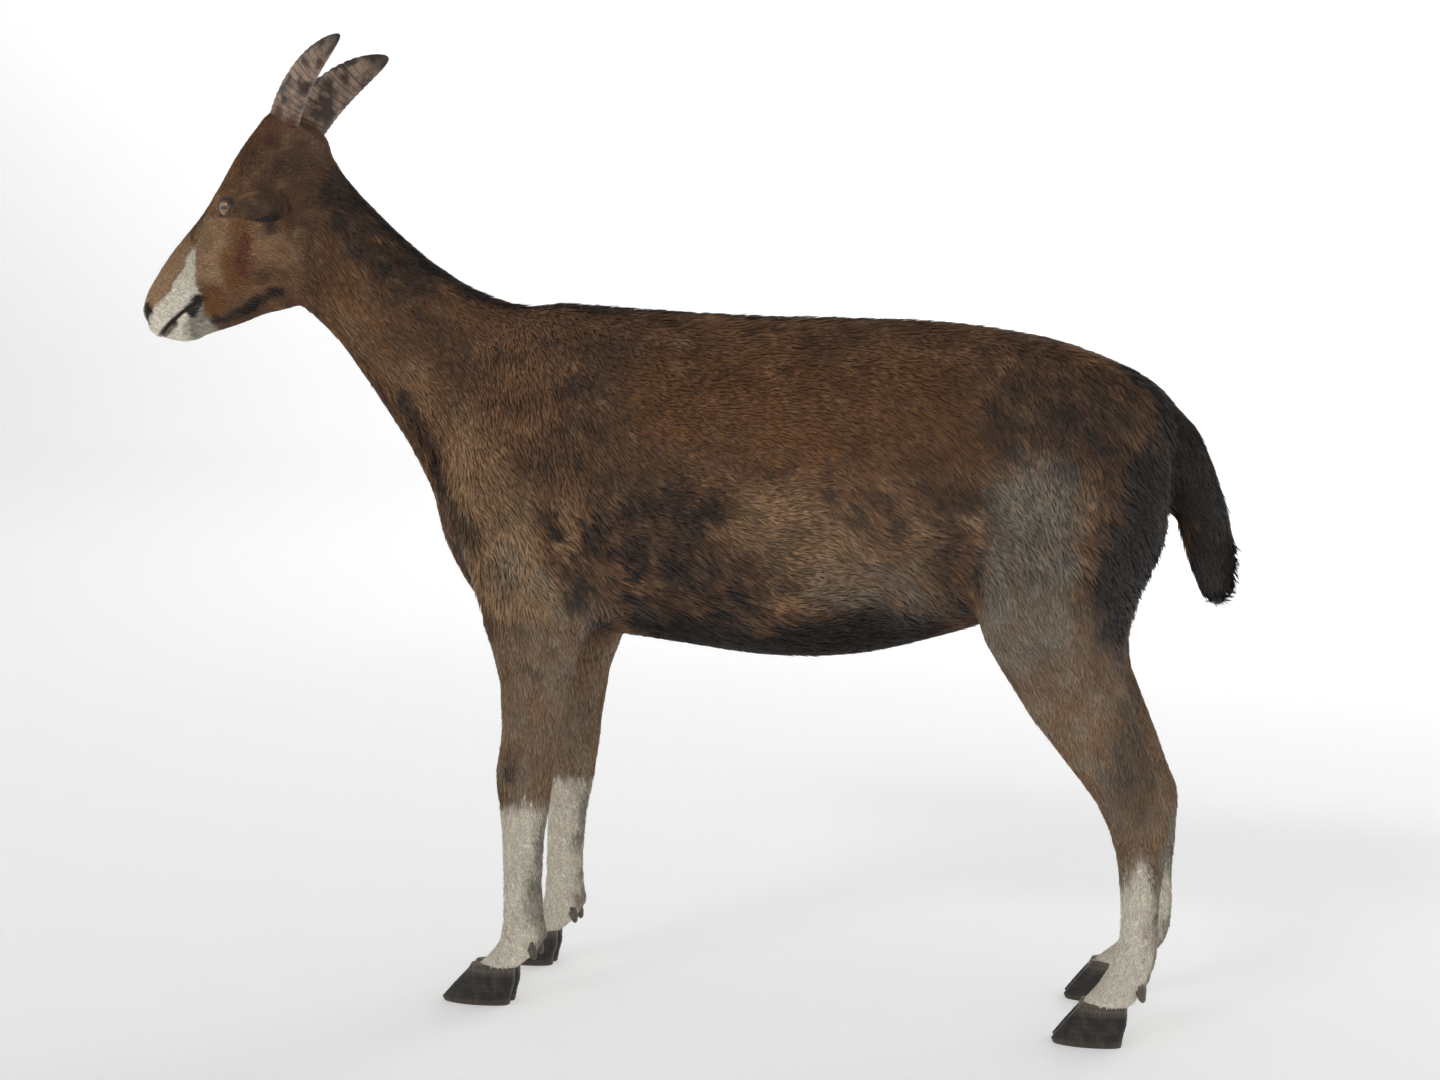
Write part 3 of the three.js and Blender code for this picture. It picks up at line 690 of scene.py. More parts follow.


# ---- markings, some of them painted shade and highlight ----

# Each marking of the body is drawn by lines: its strength, its reach, and the line, in millimetres
# on the left side.
BODY_MARKS = {
    "sand": ((0.60, 70, (110, -205, 590), (112, -155, 500)), (1.0, 52, (112, -140, 475), (106, -118, 440)),
             (0.60, 62, (132, 150, 500), (132, 240, 470)), (0.45, 44, (113, 285, 490), (108, 290, 440)),
             (0.45, 40, (45, -330, 720), (60, -260, 640)),
             (0.60, 36, (80, -150, 370), (84, -140, 290)), (0.30, 34, (88, 460, 330), (90, 490, 280))),
    "ochre": ((0.55, 88, (110, 40, 650), (110, 320, 620)), (0.45, 34, (46, -380, 800), (60, -300, 700)),
              (0.45, 22, (84, -140, 236), (84, -130, 218)), (0.35, 26, (90, 505, 215), (88, 515, 200))),
    "rust": ((0.35, 12, (50, -372, 800), (50, -366, 790)),),
    "grey": ((0.62, 60, (104, 408, 545), (112, 388, 400)), (0.45, 50, (100, 200, 446), (108, 268, 452)),
             (0.40, 34, (100, 420, 400), (95, 455, 330)), (0.40, 48, (100, -140, 470), (96, -80, 440)),
             # These two grey lines paint blue-grey shade down the back of the front and hind lower legs.
             (0.95, 30, (82, -90, 190), (82, -94, 60)), (0.95, 30, (82, 546, 185), (82, 538, 60))),
    # The first three dark lines, the back line, are partly the coat's own line and partly painted shade
    # along the top of the neck and back.
    "dark": ((0.85, 24, (0, -400, 935), (0, -235, 765)), (0.75, 22, (0, -235, 765), (0, -110, 745)),
             (0.70, 21, (0, -110, 745), (0, 430, 700)), (0.85, 84, (0, 520, 640), (0, 560, 560)),
             (0.62, 60, (20, -392, 912), (26, -262, 782)), (0.58, 78, (60, 380, 628), (70, 470, 600)),
             # The dark line from (40, 20, 402) to (50, 250, 396) is partly dark coat and partly painted
             # shade under the belly.
             (0.85, 68, (84, 528, 575), (92, 508, 430)), (0.90, 68, (40, 20, 402), (50, 250, 396)),
             (0.60, 58, (112, 10, 510), (104, 100, 440)), (0.45, 30, (111, -42, 556), (112, -30, 545)),
             (0.40, 40, (121, 10, 505), (118, 40, 480)), (0.45, 26, (108, -140, 442), (100, -165, 470)),
             (0.55, 24, (95, -180, 500), (70, -215, 530)), (0.65, 22, (56, -226, 545), (60, -236, 585)),
             (0.60, 20, (56, -244, 600), (49, -274, 640)), (0.60, 12, (44, -355, 755), (46, -350, 745)),
             (0.50, 16, (102, -127, 268), (98, -124, 250)), (0.50, 9, (106, -129, 367), (100, -112, 362)),
             (0.50, 17, (99, 513, 250), (96, 505, 232)), (0.50, 44, (94, 322, 470), (80, 330, 420)),
             (0.30, 96, (90, -120, 700), (90, 400, 680)), (0.45, 10, (110, 299, 441), (112, 297, 500)),
             (0.65, 10, (112, -79, 438), (116, -48, 470)), (0.55, 9, (116, -48, 470), (118, -52, 498)),
             (0.35, 44, (118, 250, 590), (112, 330, 560)), (0.35, 34, (120, -120, 640), (118, -60, 610)),
             (0.30, 30, (84, -120, 330), (86, -100, 290)), (0.45, 40, (88, 500, 330), (92, 505, 250))),
}
# Markings of the head are drawn the same way, in the head's own axes.
HEAD_MARKS = {
    "sand": ((0.7, 38, (40, 34, -8), (34, 54, -26)), (0.5, 30, (46, -6, -60), (46, -24, -84)),
             (0.95, 13, (0, 62, 27), (0, 112, 24)), (0.5, 22, (40, 70, -80), (44, 40, -95)),
             (0.5, 16, (48, -16, -30), (46, 10, -30))),
    "ochre": ((0.75, 18, (48, 36, -42), (44, 50, -62)), (0.9, 18, (34, 82, -50), (28, 104, -54)),
              (0.55, 34, (30, -20, 30), (30, -80, 40)), (0.6, 16, (48, 4, -28), (46, 24, -46))),
    "rust": ((0.62, 13, (50, 8, -40), (46, 34, -58)), (0.6, 13, (46, -84, 14), (40, -88, 28)),
             (0.6, 10, (28, -104, 40), (34, -100, 30))),
    # This grey paints blue-grey shade under the white chin and lower lip.
    "grey": ((0.95, 18, (26, 116, -52), (10, 130, -58)),),
    "dark": ((0.9, 9, (30, 99, -38), (25, 114, -38)), (0.9, 13, (30, 30, -100), (22, 108, -74)),
             (0.7, 6, (20, 138, -33), (12, 164, -32)), (0.9, 8, (25, 151, -2), (18, 160, -10)),
             # The dark line from (50, -46, -34) to (50, -26, -48) is a painted shadow below the ear's
             # root.
             (0.45, 18, (0, -40, 44), (0, -96, 50)), (0.75, 15, (50, -46, -34), (50, -26, -48)),
             (0.45, 30, (50, -74, 20), (50, -40, 0)), (0.4, 34, (44, -64, 8), (46, -92, -12)),
             (0.35, 10, (50, -8, 12), (46, -22, 14))),
}
WHITE_UP = (-110, -58, -42, -32, -17, 2, 22, 40)        # the edge of the white muzzle, from below
WHITE_FROM = (118, 110, 97, 91, 75, 63, 57, 54)         # and how far along the head it lies
BRIDGE_ALONG, BRIDGE_UP = (60, 110, 160), (4, -10, -14)  # lower edge of the muzzle's sandy bridge
STOCKING_FRONT, STOCKING_HIND = 0.214, 0.176            # tops of the white lower legs
STOCKING_DIP, STOCKING_BENDS = 0.012, 160               # how the hind ones rise and fall round the leg
FADE_BELOW, FADE_ABOVE = 0.016, 0.020                   # how softly they end
HIND_FROM = 0.2                                         # legs further back than this are hind legs
# How far the edges of markings wander, how wide the waves are, and the waves' seed.
BODY_WANDER = ((0.014, 0.060, 11), (0.006, 0.018, 21))
HEAD_WANDER = ((0.0035, 0.012, 31),)
MOTTLES = ((1.0, 0.018, 41), (0.7, 0.007, 42))          # the flank's mottling: strength, width and seed
MARKINGS = ("sand", "ochre", "rust", "grey", "cream", "dark")


def drawn(points, lines):
    """How strongly lines paint each point, from 0 to 1; points are in millimetres."""
    total = np.zeros(len(points))
    for strength, reach, start, end in lines:
        cover = strength * (1 - ramp(from_path(points, (start, end)), 0.35 * reach, 1.35 * reach))
        total = np.maximum(total, cover)
    return total


def wandering(points, waves):
    """Moves points a little, this way and that, so that edges drawn on them wander."""
    for size, scale, seed in waves:
        points = points + size * columns(*(lattice_noise(points, scale, seed + i) for i in range(3)))
    return points


def stockings(points, edges):
    """How far each point lies in the white of the lower legs, whose edges are read at other places."""
    dip = STOCKING_DIP * np.cos(points[:, 1] * STOCKING_BENDS)
    top = np.where(points[:, 1] > HIND_FROM, STOCKING_HIND + dip, STOCKING_FRONT)
    return 1 - ramp(edges[:, 2], top - FADE_BELOW, top + FADE_ABOVE)


def ear_rims(points, ears):
    """How far each point lies in the front rim and in the rear rim of an ear. The front rim is painted
    reddish and lighter, the lighter part a painted highlight; the rear rim is painted dark, a painted
    shadow.
    """
    away = mirrored(points) - EAR_ROOT
    leaf, across = ears * ramp(away @ EAR_OUT, 0.015, 0.045), away @ EAR_WIDE
    return leaf * ramp(-across, 0.008, 0.018), leaf * ramp(across, 0.008, 0.017)


def markings(points, regions):
    """Each marking's strength at points of the skin, whose regions are given. Some of the markings are
    painted shade or a painted highlight.
    """
    head, tail, leg, ears = ramp(regions[:, 0], 0.3, 0.7), regions[:, 3], regions[:, 4], regions[:, 5]
    moved = wandering(points, BODY_WANDER)
    body, at = mirrored(moved) / MM, head_places(wandering(points, HEAD_WANDER))
    found = {name: drawn(body, lines) * (1 - head) for name, lines in BODY_MARKS.items()}

    def lay(name, strength):
        found[name] = np.maximum(found[name], strength)

    for name, lines in HEAD_MARKS.items():
        lay(name, drawn(at, lines) * head)
    _, along, up = at.T
    muzzle = ramp(along - np.interp(up, WHITE_UP, WHITE_FROM), -6, 6) * head
    bridge = ramp(up - np.interp(along, BRIDGE_ALONG, BRIDGE_UP), 0, 10)
    bridge = bridge * (1 - ramp(along, 138, 168))
    under = ramp(-up, 62, 74) * (1 - ramp(along, 118, 132))
    stocking = stockings(points, moved)
    pale = np.maximum(muzzle * (1 - 0.9 * bridge) * (1 - 0.8 * under), stocking)
    # Where grey paints shade on the back of the lower legs and under the chin, it shows through the white.
    found["cream"] = pale * (1 - 0.75 * found["grey"])
    lay("sand", 0.85 * muzzle * bridge)
    # An ear's front rim gets rust and sand, a reddish tint and a painted highlight; its rear rim gets
    # dark, a painted shadow.
    lit_front_rim, shaded_rear_rim = ear_rims(points, ears)
    lay("rust", 0.3 * lit_front_rim)
    lay("sand", 0.7 * lit_front_rim)
    lay("ochre", 0.35 * ears)
    found["dark"] *= 1 - stocking
    for name in ("sand", "ochre"):
        found[name] *= 1 - 0.9 * stocking
    lay("dark", 0.85 * ramp(tail, 0.2, 0.8))
    lay("dark", np.maximum(0.45 * ears - 0.45 * lit_front_rim, 0.8 * shaded_rear_rim))
    upper_leg = leg * (1 - stocking)
    lay("sand", 0.52 * upper_leg)
    lay("grey", 0.40 * upper_leg)
    mottled = sum(strength * lattice_noise(points, scale, seed) for strength, scale, seed in MOTTLES)
    height = points[:, 2]
    low = ramp(0.63 - height, 0, 0.12) * (1 - head) * (1 - stocking) * ramp(height, 0.3, 0.42)
    spared = 1 - 0.8 * np.maximum(found["sand"], found["grey"])
    lay("dark", 0.75 * ramp(mottled, -0.20, 0.60) * low * spared)
    lay("sand", 0.6 * ramp(-mottled, 0.10, 0.7) * low)
    return found


def bareness(points, regions):
    """Where no hair grows: the eyes' rims, nostrils, lips and the feet below the coronet."""
    at = head_places(points)
    above, belongs = from_mouth(at)
    head = regions[:, 0] > 0.4
    lids = 1 - ramp(eye_places(points)[-1], 0.0012, 0.0024)
    nose = 1 - ramp(nostril(at)[1], 1.1, 1.9)
    lips = (1 - ramp(np.abs(above + 0.3), 1.6, 2.8)) * belongs
    pad = 1 - ramp(from_path(at, NOSE_PAD), 5, 8)
    feet = 1 - ramp(points[:, 2], HOOF_TOP - 0.001, HOOF_TOP + 0.002)
    return np.maximum(np.max([lids, nose, lips, pad], axis=0) * head, feet)


def regions_of(mesh):
    return np.column_stack([stored(mesh, region) for region in REGIONS])


def store_markings(mesh, roots, found):
    """Keeps the coat's markings, and the place they are read at, for the materials."""
    store(mesh, "root", roots)
    store(mesh, "warm", columns(*(found[name] for name in MARKINGS[:3])))
    store(mesh, "cool", columns(*(found[name] for name in MARKINGS[3:])))


# ---- materials ----

class Paint:
    """One material, whose nodes are made by short calls."""

    def __init__(self, name, **finish):
        self.material = bpy.data.materials.new(name)
        self.material.use_nodes = True
        self.tree = self.material.node_tree
        self.shader = self.tree.nodes["Principled BSDF"]
        for socket, value in finish.items():
            self.shader.inputs[socket.replace("_", " ")].default_value = value

    def node(self, kind, sockets, **fields):
        node = self.tree.nodes.new("ShaderNode" + kind)
        for field, value in fields.items():
            setattr(node, field, value)
        for socket, value in sockets.items():
            self.put(node.inputs[socket], value)
        return node

    def put(self, socket, value):
        if isinstance(value, bpy.types.NodeSocket):
            self.tree.links.new(value, socket)
        else:
            socket.default_value = value

    def attribute(self, name, output="Fac"):
        return self.node("Attribute", {}, attribute_name=name).outputs[output]

    def place(self):
        return self.node("TexCoord", {}).outputs["Object"]

    def parts(self, vector):
        return self.node("SeparateXYZ", {0: vector}).outputs

    def math(self, operation, first, second=0.0):
        return self.node("Math", {0: first, 1: second}, operation=operation).outputs[0]

    def step(self, value, low, high, bottom=0.0, top=1.0):
        sockets = {0: value, 1: low, 2: high, 3: bottom, 4: top}
        return self.node("MapRange", sockets, interpolation_type="SMOOTHSTEP").outputs[0]

    def stretched(self, vector, scale):
        return self.node("Mapping", {"Vector": vector, "Scale": scale}).outputs[0]

    def noise(self, vector, scale, detail=3.0, rough=0.5):
        sockets = {"Vector": vector, "Scale": scale, "Detail": detail, "Roughness": rough}
        return self.node("TexNoise", sockets).outputs[0]

    def mix(self, share, first, second, blend="MIX"):
        """One colour over another; a colour is a socket, a #rrggbb code or three numbers."""
        sockets = {0: share}
        for socket, colour in ((6, first), (7, second)):
            colour = linear(colour) if isinstance(colour, str) else colour
            sockets[socket] = (*colour, 1.0) if isinstance(colour, tuple) else colour
        return self.node("Mix", sockets, data_type="RGBA", blend_type=blend).outputs[2]

    def power(self, value, power):
        """The size of a number, whatever its sign, raised to a power."""
        return self.math("POWER", self.math("ABSOLUTE", value), power)

    def times(self, colour, factor):
        """A colour made lighter or darker by a number."""
        grey = self.node("CombineXYZ", {0: factor, 1: factor, 2: factor}).outputs[0]
        return self.mix(1.0, colour, grey, "MULTIPLY")

    def bump(self, height, strength, distance):
        node = self.node("Bump", {"Height": height, "Strength": strength, "Distance": distance})
        self.put(self.shader.inputs["Normal"], node.outputs[0])

    def coloured(self, colour, roughness=None):
        self.put(self.shader.inputs["Base Color"], colour)
        if roughness is not None:
            self.put(self.shader.inputs["Roughness"], roughness)
        return self.material


def shade(colour, factor):
    return tuple(min(1.0, part * factor) for part in colour)


def coat_colour(paint):
    """The colour of the coat at each root: brown, with each marking painted over it in turn."""
    palette = colours()
    root = paint.attribute("root", "Vector")
    broad, middle, fine = (paint.noise(root, scale, 3.0) for scale in (11.0, 45.0, 190.0))
    brown = tuple(palette.brown)
    colour = paint.mix(paint.step(broad, 0.36, 0.66), shade(brown, 0.66), shade(brown, 1.22))
    colour = paint.mix(paint.step(middle, 0.50, 0.78), colour, shade(brown, 0.45))
    colour = paint.mix(paint.step(middle, 0.46, 0.22, 0.0, 0.6), colour, shade(palette.sand, 0.85))
    ragged = paint.math("MULTIPLY", paint.math("SUBTRACT", middle, 0.5), 0.75)
    strands = paint.math("MULTIPLY", paint.math("SUBTRACT", fine, 0.5), 0.5)
    edge = paint.math("ADD", ragged, strands)
    warm, cool = (paint.parts(paint.attribute(name, "Vector")) for name in ("warm", "cool"))
    for name, mark in zip(MARKINGS, (*warm, *cool)):
        inside = paint.math("MULTIPLY", edge, paint.step(mark, 0.02, 0.2))
        covered = paint.step(paint.math("ADD", mark, inside), 0.16, 0.86)
        tone = tuple(getattr(palette, name))
        colour = paint.mix(covered, colour, paint.mix(broad, shade(tone, 0.8), shade(tone, 1.15)))
    return paint.times(colour, paint.step(fine, 0.25, 0.75, 0.86, 1.12))


FUR_FINISH = {"Roughness": 0.62, "Specular_IOR_Level": 0.28, "Sheen_Weight": 0.12,
              "Sheen_Roughness": 0.5}


def fur_material():
    paint = Paint("short_fur", **FUR_FINISH)
    along, tone = paint.attribute("along"), paint.attribute("shade")
    white = paint.parts(paint.attribute("cool", "Vector"))[1]
    # Each tuft is painted darker at its root than at its tip: painted shade among the hairs.
    tip = paint.math("SUBTRACT", paint.step(along, 0.0, 0.9, 0.72, 1.12), 1.0)
    own = paint.math("SUBTRACT", paint.step(tone, 0.0, 1.0, 0.80, 1.18), 1.0)
    swing = paint.math("MULTIPLY", paint.math("ADD", tip, own), paint.step(white, 0.3, 0.8, 1.0, 0.35))
    colour = paint.times(coat_colour(paint), paint.math("ADD", swing, 1.0))
    return paint.coloured(colour, paint.step(tone, 0.0, 1.0, 0.72, 0.52))


def skin_material():
    palette = colours()
    paint = Paint("skin", Roughness=0.7, Specular_IOR_Level=0.3)
    under = paint.times(coat_colour(paint), 0.86)
    place = paint.place()
    wrinkles = paint.noise(place, 420.0, 4.0, 0.6)
    bare = paint.attribute("bare")
    naked = paint.mix(paint.step(wrinkles, 0.35, 0.7), shade(palette.bare, 0.6), shade(palette.bare, 1.7))
    flush = paint.mix(paint.attribute("inner_ear"), under, shade(linear("#8d6a5c"), 0.75))
    hairs = paint.noise(paint.stretched(place, (1.0, 0.22, 0.5)), 900.0, 2.0)
    colour = paint.mix(bare, paint.times(flush, paint.step(hairs, 0.3, 0.7, 0.72, 1.15)), naked)
    paint.bump(paint.mix(bare, hairs, wrinkles), 0.55, 0.0007)
    return paint.coloured(colour, paint.step(bare, 0.0, 1.0, 0.75, 0.38))


def horn_material():
    paint = Paint("ridged_horn", Specular_IOR_Level=0.45)
    along, ridge = paint.attribute("along"), paint.attribute("ridge")
    place = paint.place()
    blotch, grain = paint.noise(place, 60.0, 4.0), paint.noise(place, 420.0, 3.0, 0.6)
    colour = paint.mix(paint.step(blotch, 0.38, 0.62), "#3f3028", "#98816d")
    colour = paint.mix(paint.step(ridge, 0.75, 0.15, 0.0, 0.9), colour, "#3f1f13")
    colour = paint.mix(paint.step(along, 0.22, 0.0, 0.0, 0.8), colour, "#542a17")
    colour = paint.mix(paint.step(along, 0.72, 0.98, 0.0, 0.85), colour, "#2c221d")
    colour = paint.times(colour, paint.step(grain, 0.25, 0.75, 0.75, 1.15))
    paint.bump(paint.math("ADD", grain, blotch), 0.35, 0.0005)
    return paint.coloured(colour, paint.step(grain, 0.3, 0.7, 0.38, 0.58))


def hoof_material():
    paint = Paint("hoof_horn", Specular_IOR_Level=0.4)
    place = paint.place()
    height = paint.parts(place)[2]
    streaks = paint.noise(paint.stretched(place, (1.0, 0.8, 0.12)), 520.0, 3.0, 0.6)
    patches = paint.noise(place, 90.0, 3.0)
    rings = paint.attribute("ridge")
    colour = paint.mix(paint.step(patches, 0.35, 0.68), "#1d1a18", "#3d362f")
    colour = paint.mix(paint.step(height, 0.010, 0.0, 0.0, 0.45), colour, "#6a5d4e")
    colour = paint.mix(paint.step(height, 0.028, 0.040, 0.0, 0.5), colour, "#7d7364")
    colour = paint.times(colour, paint.step(streaks, 0.3, 0.7, 0.72, 1.2))
    colour = paint.times(colour, paint.step(rings, 0.0, 1.0, 0.82, 1.08))
    paint.bump(streaks, 0.4, 0.0005)
    return paint.coloured(colour, paint.step(patches, 0.3, 0.7, 0.42, 0.66))


EYE_FINISH = {"Roughness": 0.06, "Specular_IOR_Level": 0.6, "IOR": 1.38, "Coat_Weight": 1.0,
              "Coat_Roughness": 0.02}


def eye_material():
    size = sizes()
    paint = Paint("amber_eye", **EYE_FINISH)
    across, up, _ = paint.parts(paint.attribute("gaze", "Vector"))
    radius = paint.math("SQRT", paint.math("ADD", paint.power(across, 2.0), paint.power(up, 2.0)))
    spokes = paint.noise(paint.attribute("spoke", "Vector"), 5.0, 4.0, 0.65)
    iris = paint.mix(paint.step(spokes, 0.3, 0.7), "#4c2c10", "#a8752c")
    iris = paint.mix(paint.step(radius, 4.5, 9.6, 0.0, 0.9), iris, "#2c190b")
    white = paint.mix(paint.noise(paint.place(), 300.0), "#5a463a", "#8a7768")
    colour = paint.mix(paint.step(radius, 9.9, 10.7), iris, "#150e0a")
    colour = paint.mix(paint.step(radius, 10.9, 11.9), colour, white)
    wide = paint.math("DIVIDE", across, size.pupil_length / 2 / MM)
    tall = paint.math("DIVIDE", up, size.pupil_height / 2 / MM)
    slot = paint.step(paint.math("ADD", paint.power(wide, 3.0), paint.power(tall, 3.0)), 1.25, 0.75)
    paint.bump(spokes, 0.1, 0.0002)
    return paint.coloured(paint.mix(slot, colour, "#050405"))


GLOW_LOW, GLOW_HIGH, GLOW_FADES = 0.32, 0.12, 0.9       # at the floor, higher up, and how high


def floor_material():
    paint = Paint("floor", Roughness=0.85, Specular_IOR_Level=0.1)
    place = paint.place()
    paint.material.cycles.emission_sampling = "NONE"
    glow = paint.step(paint.parts(place)[2], 0.0, GLOW_FADES, GLOW_LOW, GLOW_HIGH)
    paint.put(paint.shader.inputs["Emission Color"], (1.0, 1.0, 1.0, 1.0))
    paint.put(paint.shader.inputs["Emission Strength"], glow)
    return paint.coloured(paint.mix(paint.noise(place, 30.0, 4.0), "#f4f4f4", "#fafafa"))


def dress(piece, material):
    piece.data.materials.clear()
    piece.data.materials.append(material)


# ---- eyes ----

LEVEL = unit(np.cross(EYE_AXIS, [0, 0, 1]))             # the pupil's slot lies level
PUPIL_UP = np.cross(LEVEL, EYE_AXIS)
PUPIL_UP = PUPIL_UP * np.sign(PUPIL_UP[2])
CORNEA_RISE = 0.0012


def eyeball(node):
    side_name = node.split("_")[1]
    side = SIDES[side_name]
    bpy.ops.object.select_all(action="DESELECT")
    bpy.ops.mesh.primitive_uv_sphere_add(segments=72, ring_count=48, radius=1)
    piece = bpy.context.object
    piece.name = piece.data.name = "eyeball_" + side_name
    across, up, out = places(piece.data).T
    radius = EYE_RADIUS + CORNEA_RISE * ramp(out, 0.66, 0.92)
    points = EYE + radius[:, None] * on_axes((across, LEVEL), (up, PUPIL_UP), (out, EYE_AXIS))
    store(piece.data, "gaze", columns(across, up, out) * EYE_RADIUS / MM)
    beside = np.maximum(np.hypot(across, up), 1e-3)
    store(piece.data, "spoke", columns(across / beside, up / beside, 0.25 * beside + side))
    return shaped(piece, points * [side, 1, 1], 3.1)


# ---- horns ----

HORN_LENGTH, HORN_DEPTH, HORN_WIDTH = 0.126, 0.048, 0.028
HORN_SPREAD = 0.042        # its tip lies this much further out than its root
HORN_SLOPE, HORN_SWEEP = 1.15, 0.75                     # radians
KEEL_TURN = 0.6            # radians that its front edge turns inwards
HORN_SUNK = 0.12           # share of the horn that lies in the head
HORN_POWERS = 2.3, 0.6     # of its taper towards the tip
HORN_TIP = 0.03            # thickness of the tip, as a share of the root's
RIDGE_HEIGHT = 0.085


def horn(node):
    side_name = node.split("_")[1]
    side = SIDES[side_name]
    piece, share, angle = tube("horn_sheath_" + side_name, 40, 120)
    along = share * (1 + HORN_SUNK) - HORN_SUNK
    steps = np.linspace(-HORN_SUNK, 1, 400)
    slopes = HORN_SLOPE - HORN_SWEEP * steps
    length = HORN_LENGTH * (steps[1] - steps[0])
    start = HORN_ROOT[1:] - HORN_LENGTH * HORN_SUNK * np.array([np.cos(HORN_SLOPE), np.sin(HORN_SLOPE)])
    back, rise = (first + np.concatenate([[0], np.cumsum(part(slopes) * length)[:-1]])
                  for first, part in zip(start, (np.cos, np.sin)))
    slope = HORN_SLOPE - HORN_SWEEP * along
    wander = 0.25 * lattice_noise(columns(along * 5, along * 0 + side, along * 0), 1.0, 51)
    phase = (np.maximum(along, 0) ** 0.85 * sizes().horn_rings + wander) * np.pi
    ridge = np.abs(np.sin(phase)) ** 0.55
    fade = ramp(along, 0, 0.05) * (1 - ramp(along, 0.72, 0.95))
    front = np.maximum(np.cos(angle), 0)
    taper = (1 - np.clip(along, 0, 1) ** HORN_POWERS[0]) ** HORN_POWERS[1] * (1 - HORN_TIP) + HORN_TIP
    taper *= 1 + RIDGE_HEIGHT * (ridge - 0.5) * fade * (0.55 + 0.45 * front)
    deep = HORN_DEPTH / 2 * taper * np.cos(angle)
    wide = HORN_WIDTH / 2 * taper * np.sin(angle) * (1 - 0.22 * front ** 2)
    forward = columns(0 * slope, -np.sin(slope), np.cos(slope))
    aside, ahead = np.sin(KEEL_TURN), np.cos(KEEL_TURN)
    keel = ahead * forward - [aside, 0, 0]
    flat = aside * forward + [ahead, 0, 0]
    middle = columns(HORN_ROOT[0] + HORN_SPREAD * along, np.interp(along, steps, back),
                     np.interp(along, steps, rise))
    points = middle + deep[:, None] * keel + wide[:, None] * flat
    points += 0.00025 * lattice_noise(points, 0.004, 52)[:, None] * flat
    store(piece.data, "along", along)
    store(piece.data, "ridge", ridge * fade + (1 - fade))
    return shaped(piece, points * [side, 1, 1], 1.2)


# ---- hooves ----

CLAW_WIDTH = 0.021
CLAW_INNER = 0.35          # share of a claw's width on the inner side of its middle line
CORONET_HEEL = 0.024
HEELS = {"front": 0.018, "hind": 0.019}
CLAW_UP = (0.0, 0.03, 0.14, 0.55, 1.0, 1.16)            # levels, as shares of the coronet's height
CLAW_REACH = (0.94, 0.97, 1.0, 0.76, 0.48, 0.42)        # of the toe, at each level
CLAW_BREADTH = (0.92, 0.96, 1.0, 0.98, 0.92, 0.80)
SOLE_REACH, SOLE_BREADTH = 0.96, 0.93                   # the sole's edge is drawn in this much more
RING_DEPTH = 0.00028


def claw(node):
    _, row, leg_side, place = node.split("_")
    low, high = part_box(node)
    out = SIDES[leg_side] * (1 if place == "outer" else -1)
    inner_wall = low.x if out > 0 else high.x
    piece, share, angle = tube("hoof_" + node[5:], 56, 44)
    up = np.interp(share, (0, 0.02, 1), (0, 0, CLAW_UP[-1]))
    reach = np.interp(up, CLAW_UP, CLAW_REACH) * np.where(share < 0.01, SOLE_REACH, 1)
    broad = np.interp(up, CLAW_UP, CLAW_BREADTH) * np.where(share < 0.01, SOLE_BREADTH, 1)
    coronet = high.y - CORONET_HEEL
    toe = (low.y - coronet) * reach
    heel = HEELS[row] + (CORONET_HEEL - HEELS[row]) * np.minimum(up, 1) - 0.004 * ramp(up, 1, CLAW_UP[-1])
    heel += 0.0016 * bell(up - 0.62, 0.22)
    forward, sideways = np.cos(angle), np.sin(angle)
    narrow = 1 - 0.35 * np.maximum(0, forward) ** 2
    wall = np.where(sideways > 0, (1 - CLAW_INNER) * narrow * np.abs(sideways) ** 0.7,
                    -CLAW_INNER * np.abs(sideways) ** 0.45)
    x = inner_wall + out * CLAW_WIDTH * broad * (CLAW_INNER + wall)
    middle = coronet + (toe + heel) / 2
    y = middle - forward * (heel - toe) / 2
    ridge = 0.5 + 0.5 * np.cos(up * sizes().hoof_rings * 2 * np.pi + 0.8 * forward)
    grown = RING_DEPTH * ridge * ramp(up, 0.08, 0.2) * (1 - ramp(up, 0.95, 1.05))
    y += grown * np.sign(y - middle) * np.abs(forward)
    x += out * grown * np.where(sideways > 0, sideways, 0)
    z = low.z + (HOOF_TOP - low.z) * up
    store(piece.data, "ridge", ridge)
    return shaped(piece, columns(x, y, z), 0.8)


DEWCLAW_SUNK = 0.12        # share of a dewclaw that lies in the leg
DEWCLAW_DOWN = (-0.12, 0, 0.45, 1)                      # levels, from inside the leg to the tip
DEWCLAW_THICK = (0.8, 0.85, 1.0, 0.62)                  # and how thick it is there
DEWCLAW_BENDS = 30         # radians of its growth lines from one end to the other
DEWCLAW_LEAN = 1.4


def dewclaw(node):
    low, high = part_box(node)
    radius = (high.x - low.x) / 2
    piece, share, angle = tube("dewclaw_horn_" + node[8:], 24, 20)
    drop = share * (1 + DEWCLAW_SUNK) - DEWCLAW_SUNK
    lines = np.cos(drop * DEWCLAW_BENDS)
    thick = np.interp(drop, DEWCLAW_DOWN, DEWCLAW_THICK) * np.sqrt(1 - 0.97 * ramp(drop, 0.72, 1.06) ** 2)
    thick *= 1 + 0.03 * lines
    x = (low.x + high.x) / 2 + radius * thick * np.sin(angle)
    back = (high.y - low.y - 2 * radius) * drop * DEWCLAW_LEAN
    y = low.y + radius + back + radius * thick * np.cos(angle)
    store(piece.data, "ridge", 0.5 + 0.5 * lines)
    return shaped(piece, columns(x, np.minimum(y, high.y), high.z - (high.z - low.z) * drop), 1.2)


HOOF_PARTS = {"claw": claw, "dewclaw": dewclaw}


# ---- coat ----

